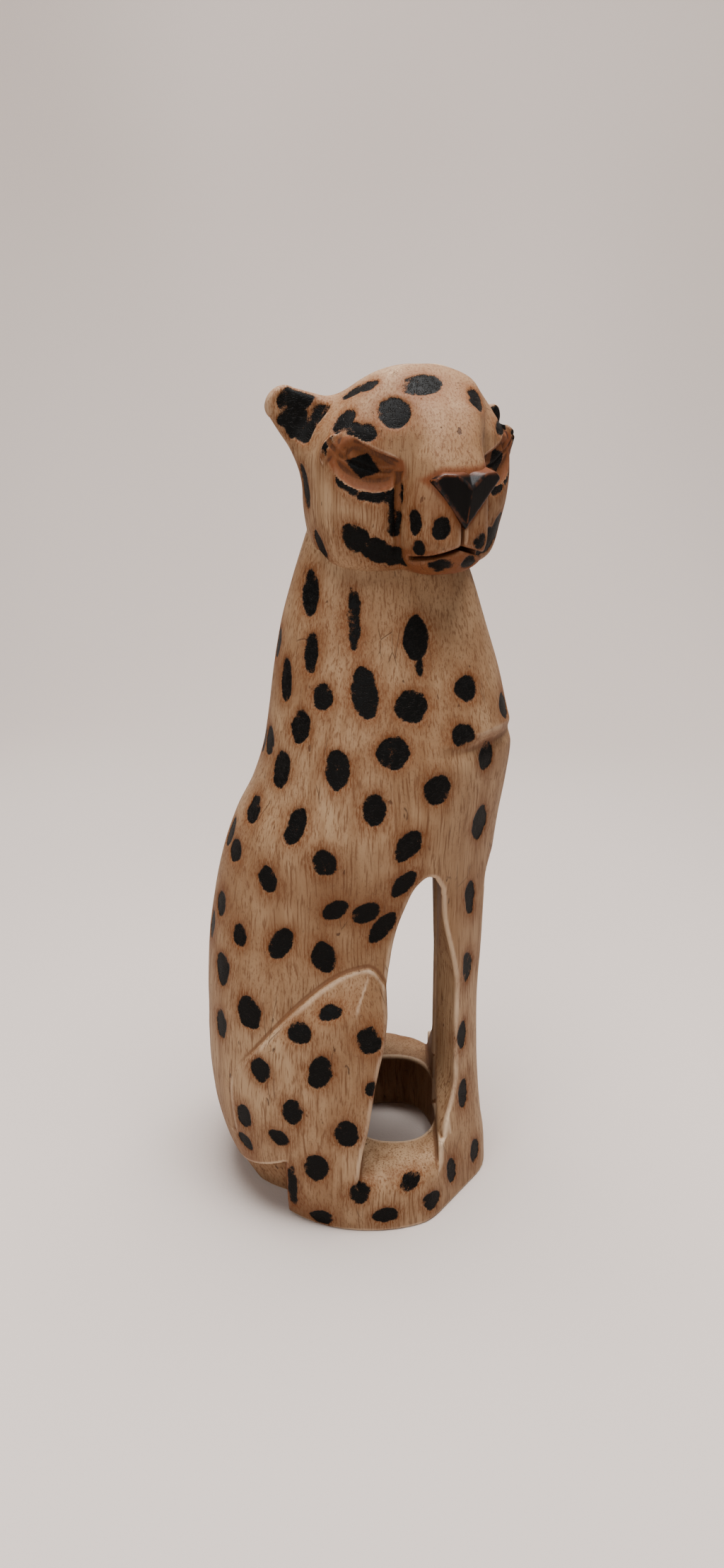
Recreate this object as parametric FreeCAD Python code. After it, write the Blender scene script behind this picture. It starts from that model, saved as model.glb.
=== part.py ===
"""Carved wooden cheetah, sitting upright with its head turned over its right shoulder.

The figure is cut from one round billet of pale wood. Its forelegs stand free of the belly behind an
arch, its thighs stand proud of the flanks, and its four feet are joined by two low rails into an open
ring on the ground. Each node is one carved mass of that billet, cut where the carver's own lines run,
and neighbouring nodes meet face to face.

Frame, in millimetres: +Z up from the ground, -Y the way the chest faces, -X the animal's right side,
origin on the ground under the middle of the billet.
"""

import FreeCAD
import Part
import math
import os

# The billet. The profile stations below are drawn for a billet of the drawn depth and width.
BILLET_HEIGHT = 300.0
BILLET_DEPTH = 115.0
BILLET_WIDTH = 106.0
DRAWN_DEPTH = 115.0
DRAWN_WIDTH = 106.0

# Feet, rails and forelegs.
RAIL_HEIGHT = 23.0
WELL_WIDTH = 56.0
WELL_FRONT = -32.0
WELL_BACK = 1.0
FORELEG_BACK = -30.5
LEG_SLOT_WIDTH = 17.0
LEG_SLOT_FOOT = 13.0
HEEL_HEIGHT = 27.0
HEEL_BACK = 25.0
UNDERCUT_SLOPE = 0.65
FOOT_INNER = 30.0
THIGH_INNER = 34.0
CORE_BACK = 47.5
CORE_BACK_FLARE = 0.45
CORE_FRONT = -28.5
CORE_WIDTH = 68.0
CORE_SIDE_FLARE = 0.28

# Head. Its turn is measured from straight ahead towards the animal's right.
HEAD_TURN = 63.0
HEAD_CENTRE_Y = -18.0
HEAD_HEIGHT = 66.0
CROWN_TRIM = 1.0
HEAD_WIDTH = 68.0
HEAD_BACK = 31.0
HEAD_FRONT = 23.0
NECK_LAP = 7.0
MUZZLE_LENGTH = 35.0
MUZZLE_WIDTH = 30.0
MUZZLE_ROOT = 17.0
MOUTH_BELOW_CENTRE = 23.5
BRIDGE_ABOVE_CENTRE = 6.0
CUT_MARGIN = 0.5
NOSE_WIDTH = 22.0
NOSE_DROP = 16.0
NOSE_STAND = 2.0
EAR_SPAN = 86.0
EAR_ROOT_RADIUS = 12.5
EAR_TIP_RADIUS = 6.5
EAR_THICKNESS = 11.0

# Tail, carved in low relief down the back.
TAIL_WIDTH = 14.0
TAIL_THICKNESS = 10.0
TAIL_ROOT_HEIGHT = 68.0
TAIL_TIP_HEIGHT = 14.0
TAIL_END_SHARE = 0.55
TAIL_STAND = 1.5
TAIL_STATIONS = 7

# Outer form of the billet: height, back, front, half width.
FORM_STATIONS = [
    (0.0, 43.5, -52.0, 52.5),
    (10.0, 49.0, -51.5, 53.0),
    (22.0, 53.3, -50.0, 52.5),
    (36.0, 55.5, -48.5, 52.0),
    (52.0, 56.0, -47.5, 51.0),
    (72.0, 56.0, -47.2, 49.5),
    (95.0, 55.0, -48.3, 46.5),
    (117.0, 52.0, -50.0, 42.5),
    (132.0, 48.5, -52.0, 41.0),
    (146.0, 43.5, -54.0, 40.0),
    (159.0, 37.0, -56.2, 38.5),
    (173.0, 32.5, -57.5, 37.0),
    (186.0, 30.3, -54.5, 34.5),
    (199.0, 28.5, -50.8, 31.0),
    (216.0, 25.4, -45.0, 26.5),
    (230.0, 21.5, -40.5, 22.5),
    (242.0, 17.0, -36.0, 20.0),
]
# Half width of the flanks where the thighs stand proud of them: height, half width.
FLANK_STATIONS = [(0.0, 33.0), (10.0, 35.5), (22.0, 38.5), (36.0, 41.0), (52.0, 42.5), (72.0, 42.5), (95.0, 41.5)]
NECK_HEIGHT = 186.0
ARCH_TOP = 134.0
ARCH_CROWN = 5.0
ARCH_SHOULDER = 9.0
BELLY_LINE = [(-20.5, 128.5), (-17.0, 121.5), (-14.5, 114.0), (-12.8, 104.0), (-11.5, 92.0), (-8.5, 66.0), (-4.5, 42.0)]
THIGH_LINE = [(62.0, 34.0), (49.0, 47.0), (40.5, 62.5), (26.5, 80.0), (15.5, 91.0), (6.0, 97.5), (-3.0, 99.0)]
KNEE_FRONT = (-10.6, 88.0)
SHANK_LINE = [(-10.4, 82.0), (-7.0, 56.0), (-4.0, 38.0)]
FOREFOOT_INSTEP = -3.5
SECTION_POINTS = 16
SQUARENESS = 2.15
FAR = 200.0

HEAD_CENTRE_Z = BILLET_HEIGHT - HEAD_HEIGHT / 2 + CROWN_TRIM
NECK_TOP = HEAD_CENTRE_Z - HEAD_HEIGHT / 2 + NECK_LAP
HEIGHT_SCALE = NECK_TOP / FORM_STATIONS[-1][0]
DEPTH_SCALE = BILLET_DEPTH / DRAWN_DEPTH
WIDTH_SCALE = BILLET_WIDTH / DRAWN_WIDTH


def vector(x, y, z):
    """A point or direction in the part's frame."""
    return FreeCAD.Vector(x, y, z)


def section(z, back, front, half_width, squareness=SQUARENESS):
    """A closed smooth section of the figure, level at height z."""
    centre = (back + front) / 2
    half_depth = (back - front) / 2
    points = []
    for i in range(SECTION_POINTS):
        turn = 2 * math.pi * i / SECTION_POINTS
        across, along = math.cos(turn), math.sin(turn)
        x = half_width * math.copysign(abs(across) ** (2 / squareness), across)
        y = centre + half_depth * math.copysign(abs(along) ** (2 / squareness), along)
        points.append(vector(x, y, z))
    curve = Part.BSplineCurve()
    curve.interpolate(points, PeriodicFlag=True)
    return Part.Wire([curve.toShape()])


def drawn(station):
    """A form station brought from the drawn billet to this one."""
    z, back, front, half_width = station
    return z * HEIGHT_SCALE, back * DEPTH_SCALE, front * DEPTH_SCALE, half_width * WIDTH_SCALE


def flank_half_width(z, full):
    """Half width of the flank at a drawn height, or the full form where no thigh stands on it."""
    if z > FLANK_STATIONS[-1][0]:
        return full
    return dict(FLANK_STATIONS)[z]


def outer_form():
    """The billet's outer form, as if nothing were cut through it."""
    return Part.makeLoft([section(*drawn(s)) for s in FORM_STATIONS], True, False)


def torso_form():
    """The outer form, drawn in at the flanks and the underside of the rump."""
    wires = [section(*drawn((z, back, front, flank_half_width(z, half_width))))
             for z, back, front, half_width in FORM_STATIONS]
    return Part.makeLoft(wires, True, False)


def block(low, high):
    """An upright block between two corners."""
    size = [b - a for a, b in zip(low, high)]
    return Part.makeBox(*size, vector(*low))


def side_prism(outline, x_from, x_to):
    """A prism across the figure, from an outline of (y, z) edges already joined in one wire."""
    face = Part.Face(outline)
    face.translate(vector(x_from, 0, 0))
    return face.extrude(vector(x_to - x_from, 0, 0))


def side_wire(curve_points, corner_points):
    """A closed outline in the plane x = 0: one smooth curve, closed by straight edges through the corners."""
    points = [vector(0, y, z) for y, z in curve_points]
    curve = Part.BSplineCurve()
    curve.interpolate(points)
    edges = [curve.toShape()]
    corners = [points[-1]] + [vector(0, y, z) for y, z in corner_points] + [points[0]]
    edges += [Part.LineSegment(a, b).toShape() for a, b in zip(corners, corners[1:])]
    return Part.Wire(edges)


def scaled(points):
    """Side outline points brought from the drawn billet to this one."""
    return [(y * DEPTH_SCALE, z * HEIGHT_SCALE) for y, z in points]


def arch_cutter():
    """The opening between the belly and the forelegs, right across the figure."""
    top = (FORELEG_BACK + ARCH_CROWN, ARCH_TOP * HEIGHT_SCALE)
    belly = [top] + scaled(BELLY_LINE) + [(FOREFOOT_INSTEP, RAIL_HEIGHT)]
    wire = side_wire(belly, [(FORELEG_BACK, RAIL_HEIGHT), (FORELEG_BACK, top[1] - ARCH_SHOULDER)])
    return side_prism(wire, -FAR, FAR)


def well_cutter():
    """The open middle of the ring of feet."""
    low, high = -5.0, RAIL_HEIGHT + 30.0
    wires = [section(z, WELL_BACK, WELL_FRONT, WELL_WIDTH / 2, 3.0) for z in (low, high)]
    return Part.makeLoft(wires, True, True)


def leg_slot_cutter():
    """The slot between the two forelegs."""
    half = LEG_SLOT_WIDTH / 2
    top = ARCH_TOP * HEIGHT_SCALE - half
    slot = block((-half, -FAR, LEG_SLOT_FOOT), (half, FORELEG_BACK + 4.0, top))
    crown = Part.makeCylinder(half, FAR + FORELEG_BACK + 4.0, vector(0, -FAR, top), vector(0, 1, 0))
    return slot.fuse(crown)


def thigh_prism():
    """Everything below the thigh's crest, behind the shank and above the undercut, right across."""
    crest = scaled(THIGH_LINE)
    shank = [(KNEE_FRONT[0] * DEPTH_SCALE, KNEE_FRONT[1] * HEIGHT_SCALE)] + scaled(SHANK_LINE)
    foot = [(FOREFOOT_INSTEP, HEEL_HEIGHT), (HEEL_BACK, HEEL_HEIGHT)]
    back = crest[0][0]
    heel_end = (back, HEEL_HEIGHT - UNDERCUT_SLOPE * (back - HEEL_BACK))
    return side_prism(side_wire(crest, shank + foot + [heel_end]), -FAR, FAR)


def largest_solid(shape):
    """The main solid of a cut, without the slivers that a tangent cut can leave."""
    return max(shape.Solids, key=lambda solid: solid.Volume)


def mirrored(shape):
    """The same mass on the animal's left."""
    return shape.mirror(vector(0, 0, 0), vector(1, 0, 0))


def right_side(x_inner, y_from, y_to, z_from, z_to):
    """A block on the animal's right, outward of x_inner."""
    return block((-FAR, y_from, z_from), (-x_inner, y_to, z_to))


def lower_masses(form):
    """The right thigh, hind foot, rail, forefoot and foreleg, each cut from the outer form."""
    well, slot, arch = well_cutter(), leg_slot_cutter(), arch_cutter()
    middle = 0.0
    thigh = form.common(thigh_prism()).common(right_side(THIGH_INNER, -FAR, FAR, 0, FAR)).cut(well)
    foot = form.common(right_side(FOOT_INNER, FOREFOOT_INSTEP, HEEL_BACK, 0, HEEL_HEIGHT)).cut(well)
    rail = form.common(right_side(middle, FORELEG_BACK, FOREFOOT_INSTEP, 0, RAIL_HEIGHT)).cut(well)
    paw = form.common(right_side(middle, -FAR, FORELEG_BACK, 0, RAIL_HEIGHT)).cut(slot).cut(well)
    leg_top = ARCH_TOP * HEIGHT_SCALE
    leg = form.common(right_side(middle, -FAR, FORELEG_BACK, RAIL_HEIGHT, leg_top)).cut(slot).cut(arch)
    masses = {"haunch": thigh, "hind_foot": foot, "side_rail": rail, "forefoot": paw, "foreleg": leg}
    return {name: largest_solid(shape) for name, shape in masses.items()}


def head_place():
    """Placement of the head's own frame: +X forward, +Y the animal's left, +Z up, origin in its middle."""
    heading = FreeCAD.Rotation(vector(0, 0, 1), -90.0 - HEAD_TURN)
    return FreeCAD.Placement(vector(0, HEAD_CENTRE_Y * DEPTH_SCALE, HEAD_CENTRE_Z), heading)


def head_section(z, back, front, half_width, squareness):
    """A level section in the head's frame, where back is behind the middle and front ahead of it."""
    wire = section(z, back, -front, half_width, squareness)
    wire.rotate(vector(0, 0, 0), vector(0, 0, 1), 90.0)
    return wire


def skull():
    """The round of the head, as level sections from under the jaw to the crown."""
    half_height, half_width = HEAD_HEIGHT / 2, HEAD_WIDTH / 2
    shares = [(-0.99, 0.78), (-0.92, 0.87), (-0.66, 0.955), (-0.30, 1.0), (0.0, 1.0),
              (0.30, 0.955), (0.60, 0.80), (0.84, 0.55), (0.97, 0.26)]
    wires = [head_section(z * half_height, HEAD_BACK * s, HEAD_FRONT * s, half_width * s, 2.2) for z, s in shares]
    return Part.makeLoft(wires, True, False)


def muzzle_form():
    """The muzzle and the bridge of the nose, as level sections from the chin to the forehead."""
    half_width = MUZZLE_WIDTH / 2
    root = 2.0
    stations = [(-32.5, 0.80, 0.72), (-27.0, 0.94, 0.92), (-20.0, 1.0, 1.0), (-10.0, 1.0, 0.96),
                (0.0, 0.98, 0.80), (8.0, 0.86, 0.72), (17.0, 0.66, 0.66), (26.0, 0.36, 0.56)]
    wires = [head_section(z, root, MUZZLE_LENGTH * reach, half_width * wide, 3.2) for z, reach, wide in stations]
    return Part.makeLoft(wires, True, False)


def nose():
    """The nose leather: a three-sided wedge, broad at the top and pointed at the lip."""
    half, front, back = NOSE_WIDTH / 2, MUZZLE_LENGTH + NOSE_STAND, MUZZLE_LENGTH - 9.0
    left, right = (front - 3.5, half, 0.0), (front - 3.5, -half, 0.0)
    ridge, tip = (front, 0.0, -1.0), (front - 0.5, 0.0, -NOSE_DROP)
    behind = [(back, half, 1.0), (back, -half, 1.0), (back, 0.0, -NOSE_DROP)]
    corners = [vector(*p) for p in [left, right, ridge, tip] + behind]
    faces = [(2, 0, 3), (2, 3, 1), (0, 2, 1), (0, 1, 5, 4), (0, 4, 6, 3), (1, 3, 6, 5), (4, 5, 6)]
    shells = []
    for face in faces:
        loop = [corners[i] for i in face]
        for k in range(1, len(loop) - 1):
            wire = Part.makePolygon([loop[0], loop[k], loop[k + 1], loop[0]])
            shells.append(Part.Face(wire))
    solid = Part.Solid(Part.Shell(shells))
    return solid if solid.Volume > 0 else solid.reversed()


def ear(side):
    """One ear, a cupped leaf standing out from the side of the head; side is -1 for the right ear."""
    reach = EAR_SPAN / 2
    middle_radius = (EAR_ROOT_RADIUS + EAR_TIP_RADIUS) / 2
    stations = [(17.0, 5.0, -9.0, EAR_ROOT_RADIUS), (27.0, 10.5, -12.0, EAR_ROOT_RADIUS),
                (reach - 7.0, 15.5, -15.5, middle_radius), (reach, 18.5, -17.0, EAR_TIP_RADIUS)]
    wires = []
    for out, up, forward, radius in stations:
        ellipse = Part.Ellipse(vector(0, 0, 0), radius, EAR_THICKNESS / 2 * min(1.0, radius / EAR_ROOT_RADIUS + 0.15))
        wire = Part.Wire([ellipse.toShape()])
        wire.rotate(vector(0, 0, 0), vector(0, 1, 0), 90.0)
        wire.rotate(vector(0, 0, 0), vector(0, 0, 1), 90.0 * side)
        wire.translate(vector(forward, out * side, up))
        wires.append(wire)
    return Part.makeLoft(wires, True, False)


def head_masses():
    """Skull, muzzle, jaw, nose and ears, in the part's frame and clear of each other."""
    fused = skull().fuse(muzzle_form())
    nose_wedge = nose()
    half = MUZZLE_WIDTH / 2 + CUT_MARGIN
    muzzle_block = block((MUZZLE_ROOT, -half, -MOUTH_BELOW_CENTRE), (FAR, half, BRIDGE_ABOVE_CENTRE))
    jaw_block = block((MUZZLE_ROOT, -half, -FAR), (FAR, half, -MOUTH_BELOW_CENTRE))
    masses = {
        "head": fused.cut(muzzle_block).cut(jaw_block),
        "muzzle": fused.common(muzzle_block).cut(nose_wedge),
        "lower_jaw": fused.common(jaw_block),
        "nose": nose_wedge,
        "ear_right": ear(-1).cut(fused),
        "ear_left": ear(1).cut(fused),
    }
    placed = {}
    for name, shape in masses.items():
        solid = largest_solid(shape).copy()
        solid.Placement = head_place().multiply(solid.Placement)
        placed[name] = solid
    return placed


def form_back(z):
    """How far back the outer form reaches at height z."""
    stations = [drawn(station) for station in FORM_STATIONS]
    for (low, back_low, _, _), (high, back_high, _, _) in zip(stations, stations[1:]):
        if low <= z <= high:
            return back_low + (back_high - back_low) * (z - low) / (high - low)
    return stations[-1][1]


def tail():
    """The tail in low relief, down the middle of the back."""
    wires = []
    for step in range(TAIL_STATIONS):
        share = step / (TAIL_STATIONS - 1)
        z = TAIL_TIP_HEIGHT + (TAIL_ROOT_HEIGHT - TAIL_TIP_HEIGHT) * share
        swell = TAIL_END_SHARE + (1 - TAIL_END_SHARE) * math.sin(math.pi * share)
        back = form_back(z) + TAIL_STAND
        wires.append(section(z, back, back - TAIL_THICKNESS * swell, TAIL_WIDTH / 2 * swell, 2.0))
    return Part.makeLoft(wires, True, False)


def ground_prism():
    """Everything below the feet's tops and the undercut of the rump, right across."""
    low_end = HEEL_HEIGHT - UNDERCUT_SLOPE * (FAR - HEEL_BACK)
    corners = [(-FAR, HEEL_HEIGHT), (HEEL_BACK, HEEL_HEIGHT), (FAR, low_end), (-FAR, low_end)]
    points = [vector(0, y, z) for y, z in corners]
    return side_prism(Part.makePolygon(points + points[:1]), -FAR, FAR)


def rump_core():
    """The foot of the rump between the heels, widening upwards into the undercut."""
    wires = [section(z, CORE_BACK + CORE_BACK_FLARE * z, CORE_FRONT, CORE_WIDTH / 2 + CORE_SIDE_FLARE * z)
             for z in (0.0, HEEL_HEIGHT)]
    return Part.makeLoft(wires, True, True)


def body_masses(head):
    """Trunk, neck, rump foot, tail and the paired limbs, clear of each other and of the head."""
    form, torso = outer_form(), torso_form()
    right = lower_masses(form)
    ground, well = ground_prism(), well_cutter()
    limbs = {}
    for name, solid in right.items():
        limbs[name + "_right"] = solid
        limbs[name + "_left"] = mirrored(solid)
    tail_solid = tail()
    seat = rump_core().common(ground).common(block((-FAR, FOREFOOT_INSTEP, 0), (FAR, FAR, HEEL_HEIGHT))).cut(well)
    trunk = torso.cut(ground).cut(arch_cutter()).cut(leg_slot_cutter()).cut(well).cut(tail_solid)
    front = block((-FAR, -FAR, 0), (FAR, FORELEG_BACK, ARCH_TOP * HEIGHT_SCALE))
    trunk = trunk.cut(front)
    for name, solid in limbs.items():
        if name.startswith(("haunch", "side_rail")):
            trunk = trunk.cut(solid)
        if name.startswith("hind_foot"):
            seat = seat.cut(solid)
    neck_block = block((-FAR, -FAR, NECK_HEIGHT * HEIGHT_SCALE), (FAR, FAR, BILLET_HEIGHT))
    neck = trunk.common(neck_block)
    for solid in head.values():
        neck = neck.cut(solid)
    masses = {"trunk": trunk.cut(neck_block), "neck": neck, "rump_foot": seat, "tail": tail_solid, **limbs}
    return {name: largest_solid(shape) for name, shape in masses.items()}


def build():
    """Every carved mass by node name."""
    head = head_masses()
    return {**body_masses(head), **head}


def main():
    """Write one STEP file for each carved mass."""
    os.makedirs("parts", exist_ok=True)
    for name, solid in build().items():
        solid.exportStep(os.path.join("parts", name + ".step"))
        print(f"{name}: {solid.Volume / 1000:.1f} cm3, valid {solid.isValid()}")


if __name__ == "__main__":
    main()
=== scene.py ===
"""Sitting cheetah carved from one billet of pale wood: its visible surfaces.

The figure is sculpted as fields of signed distance in millimetres, meshed, branded with burnt spots by
Geometry Nodes and cut along the frame's own planes, so that each carved mass of the frame gets its surface.
"""

import logging
import math
from dataclasses import dataclass, field
from enum import Enum
from typing import Callable, Iterable

import bmesh
import bpy
import numpy as np
from mathutils import Matrix, Vector
from mathutils.bvhtree import BVHTree


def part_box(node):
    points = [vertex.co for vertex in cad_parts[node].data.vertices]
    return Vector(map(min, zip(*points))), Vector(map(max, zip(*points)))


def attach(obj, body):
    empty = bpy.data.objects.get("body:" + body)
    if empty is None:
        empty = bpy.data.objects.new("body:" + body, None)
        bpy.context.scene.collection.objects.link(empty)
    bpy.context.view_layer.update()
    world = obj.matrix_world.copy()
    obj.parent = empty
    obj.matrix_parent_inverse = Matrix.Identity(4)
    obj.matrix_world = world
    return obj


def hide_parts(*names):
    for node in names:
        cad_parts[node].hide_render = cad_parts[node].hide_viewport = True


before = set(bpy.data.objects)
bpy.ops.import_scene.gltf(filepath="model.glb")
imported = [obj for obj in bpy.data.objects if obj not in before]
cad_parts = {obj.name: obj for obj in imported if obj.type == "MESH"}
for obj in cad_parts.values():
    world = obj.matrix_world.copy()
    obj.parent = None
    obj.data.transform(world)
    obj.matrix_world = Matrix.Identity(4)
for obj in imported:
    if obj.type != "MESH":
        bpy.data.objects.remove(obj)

LOG = logging.getLogger("cheetah")
MM = 0.001
BODY = "root"
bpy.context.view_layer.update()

Array = np.ndarray
Field = Callable[[Array, Array, Array], Array]
Colour = tuple[float, float, float, float]
Point2 = tuple[float, float]
Point3 = tuple[float, float, float]
Input = bpy.types.NodeSocket | Colour | Point3 | float


class Side(Enum):
    """Side of the animal, as the sign of its place across the head (right is positive there)."""

    RIGHT = 1
    LEFT = -1

    @property
    def word(self) -> str:
        """The side as part of a node's name."""
        return self.name.lower()


class Slot(Enum):
    """Material slots of the record."""

    WOOD = "carved_wood"
    NOSE = "nose_black"


# ---------------------------------------------------------------------------------------------------------
# Sculpting tools


def smooth_union(a: Array, b: Array, radius: float) -> Array:
    """Join two fields with a fillet.

    Args:
        a: Signed distances to the first solid.
        b: Signed distances to the second solid.
        radius: Width of the fillet, mm.

    Returns:
        Signed distances to the joined solid.
    """
    blend = np.maximum(radius - np.abs(a - b), 0.0) / radius
    return np.minimum(a, b) - blend * blend * radius * 0.25


def smooth_overlap(a: Array, b: Array, radius: float) -> Array:
    """Keep what two solids share, with the edge between them rounded by radius."""
    return -smooth_union(-a, -b, radius)


def smooth_cut(a: Array, b: Array, radius: float) -> Array:
    """Cut the second solid from the first, with the edge rounded by radius."""
    return -smooth_union(-a, b, radius)


def ramp(value: Array, low: float, high: float) -> Array:
    """A smooth step from 0 at low to 1 at high."""
    share = np.clip((value - low) / (high - low), 0.0, 1.0)
    return share * share * (3.0 - 2.0 * share)


def oval(x: Array, y: Array, a: Array | float, b: Array | float, squareness: float) -> Array:
    """Signed distance, to first order, to an upright squared-off oval.

    Args:
        x: Place along the first axis, from the oval's middle.
        y: Place along the second axis.
        a: Half size along the first axis.
        b: Half size along the second axis.
        squareness: Exponent; 2 is an ellipse and more is squarer.

    Returns:
        Signed distances, negative inside.
    """
    across, along = np.abs(x) / a, np.abs(y) / b
    size = np.power(across**squareness + along**squareness + 1e-12, 1.0 / squareness)
    slope_x = np.power(np.maximum(across, 1e-6) / size, squareness - 1.0) / a
    slope_y = np.power(np.maximum(along, 1e-6) / size, squareness - 1.0) / b
    return (size - 1.0) / np.sqrt(slope_x**2 + slope_y**2)


def ellipsoid(u: Array, v: Array, w: Array, radii: Point3) -> Array:
    """Signed distance, to first order, to an ellipsoid about the origin of u, v and w."""
    a, b, c = radii
    size = np.sqrt((u / a) ** 2 + (v / b) ** 2 + (w / c) ** 2) + 1e-9
    slope = np.sqrt((u / a**2) ** 2 + (v / b**2) ** 2 + (w / c**2) ** 2) + 1e-9
    return size * (size - 1.0) / slope


class Stations:
    """A smooth curve through given stations, without overshoot between them."""

    def __init__(self, *stations: tuple[float, float]) -> None:
        """Set the curve.

        Args:
            stations: Pairs of place and value, in rising order of place.
        """
        places = np.array([s[0] for s in stations], float)
        values = np.array([s[1] for s in stations], float)
        steps = np.diff(places)
        slopes = np.diff(values) / steps
        tangents = np.zeros(len(places))
        tangents[0], tangents[-1] = slopes[0], slopes[-1]
        same_way = slopes[:-1] * slopes[1:] > 0
        heavy, light = 2 * steps[1:] + steps[:-1], steps[1:] + 2 * steps[:-1]
        safe = np.where(same_way, slopes[:-1], 1.0), np.where(same_way, slopes[1:], 1.0)
        mean = (heavy + light) / (heavy / safe[0] + light / safe[1])
        tangents[1:-1] = np.where(same_way, mean, 0.0)
        self.at = np.linspace(places[0], places[-1], 1200)
        span = np.clip(np.searchsorted(places, self.at, side="right") - 1, 0, len(steps) - 1)
        width = steps[span]
        t = (self.at - places[span]) / width
        low, high = values[span], values[span + 1]
        rise_low, rise_high = tangents[span] * width, tangents[span + 1] * width
        cube, square = t**3, t**2
        self.value = ((2 * cube - 3 * square + 1) * low + (cube - 2 * square + t) * rise_low
                      + (3 * square - 2 * cube) * high + (cube - square) * rise_high)

    def __call__(self, place: Array) -> Array:
        """Value of the curve at each place, held level past its ends."""
        return np.interp(place, self.at, self.value)


class SideProfile:
    """Signed distance to a closed outline in the side view, for cuts that run right across the figure."""

    STEP = 0.5
    LOW = (-90.0, -30.0)
    HIGH = (90.0, 170.0)

    def __init__(self, curve: list[Point2], corners: list[Point2]) -> None:
        """Work out the distances on a fine grid once.

        Args:
            curve: Points (y, z) of the outline's smooth stretch.
            corners: Points (y, z) of its straight stretch, from the curve's end back to its start.
        """
        outline = np.array(self.smoothed(curve) + corners, float)
        ys = np.arange(self.LOW[0], self.HIGH[0] + self.STEP, self.STEP)
        zs = np.arange(self.LOW[1], self.HIGH[1] + self.STEP, self.STEP)
        y, z = np.meshgrid(ys, zs, indexing="ij")
        nearest, sign = np.full(y.shape, 1e18), np.ones(y.shape)
        for start, end in zip(outline, np.roll(outline, -1, axis=0)):
            edge = end - start
            dy, dz = y - start[0], z - start[1]
            share = np.clip((dy * edge[0] + dz * edge[1]) / (edge @ edge + 1e-12), 0.0, 1.0)
            nearest = np.minimum(nearest, (dy - edge[0] * share) ** 2 + (dz - edge[1] * share) ** 2)
            above, below, left = z >= start[1], z < end[1], edge[0] * dz > edge[1] * dy
            sign = np.where((above & below & left) | (~above & ~below & ~left), -sign, sign)
        self.table = sign * np.sqrt(nearest)

    @staticmethod
    def smoothed(points: list[Point2], pieces: int = 8) -> list[Point2]:
        """A Catmull-Rom curve through the points, as a fine polyline."""
        p = np.array([points[0]] + list(points) + [points[-1]], float)
        fine = []
        for a, b, c, d in zip(p, p[1:], p[2:], p[3:]):
            for step in range(pieces):
                t = step / pieces
                fine.append(tuple(0.5 * (2 * b + (c - a) * t + (2 * a - 5 * b + 4 * c - d) * t**2
                                         + (3 * b - a - 3 * c + d) * t**3)))
        return fine + [tuple(p[-1])]

    def __call__(self, y: Array, z: Array) -> Array:
        """Signed distance at each (y, z), negative inside the outline."""
        rows, columns = self.table.shape
        across = np.clip((y - self.LOW[0]) / self.STEP, 0, rows - 1.001)
        up = np.clip((z - self.LOW[1]) / self.STEP, 0, columns - 1.001)
        i, j = across.astype(np.int32), up.astype(np.int32)
        s, t = across - i, up - j
        table = self.table
        low = table[i, j] * (1 - s) + table[i + 1, j] * s
        high = table[i, j + 1] * (1 - s) + table[i + 1, j + 1] * s
        return low * (1 - t) + high * t


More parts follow.
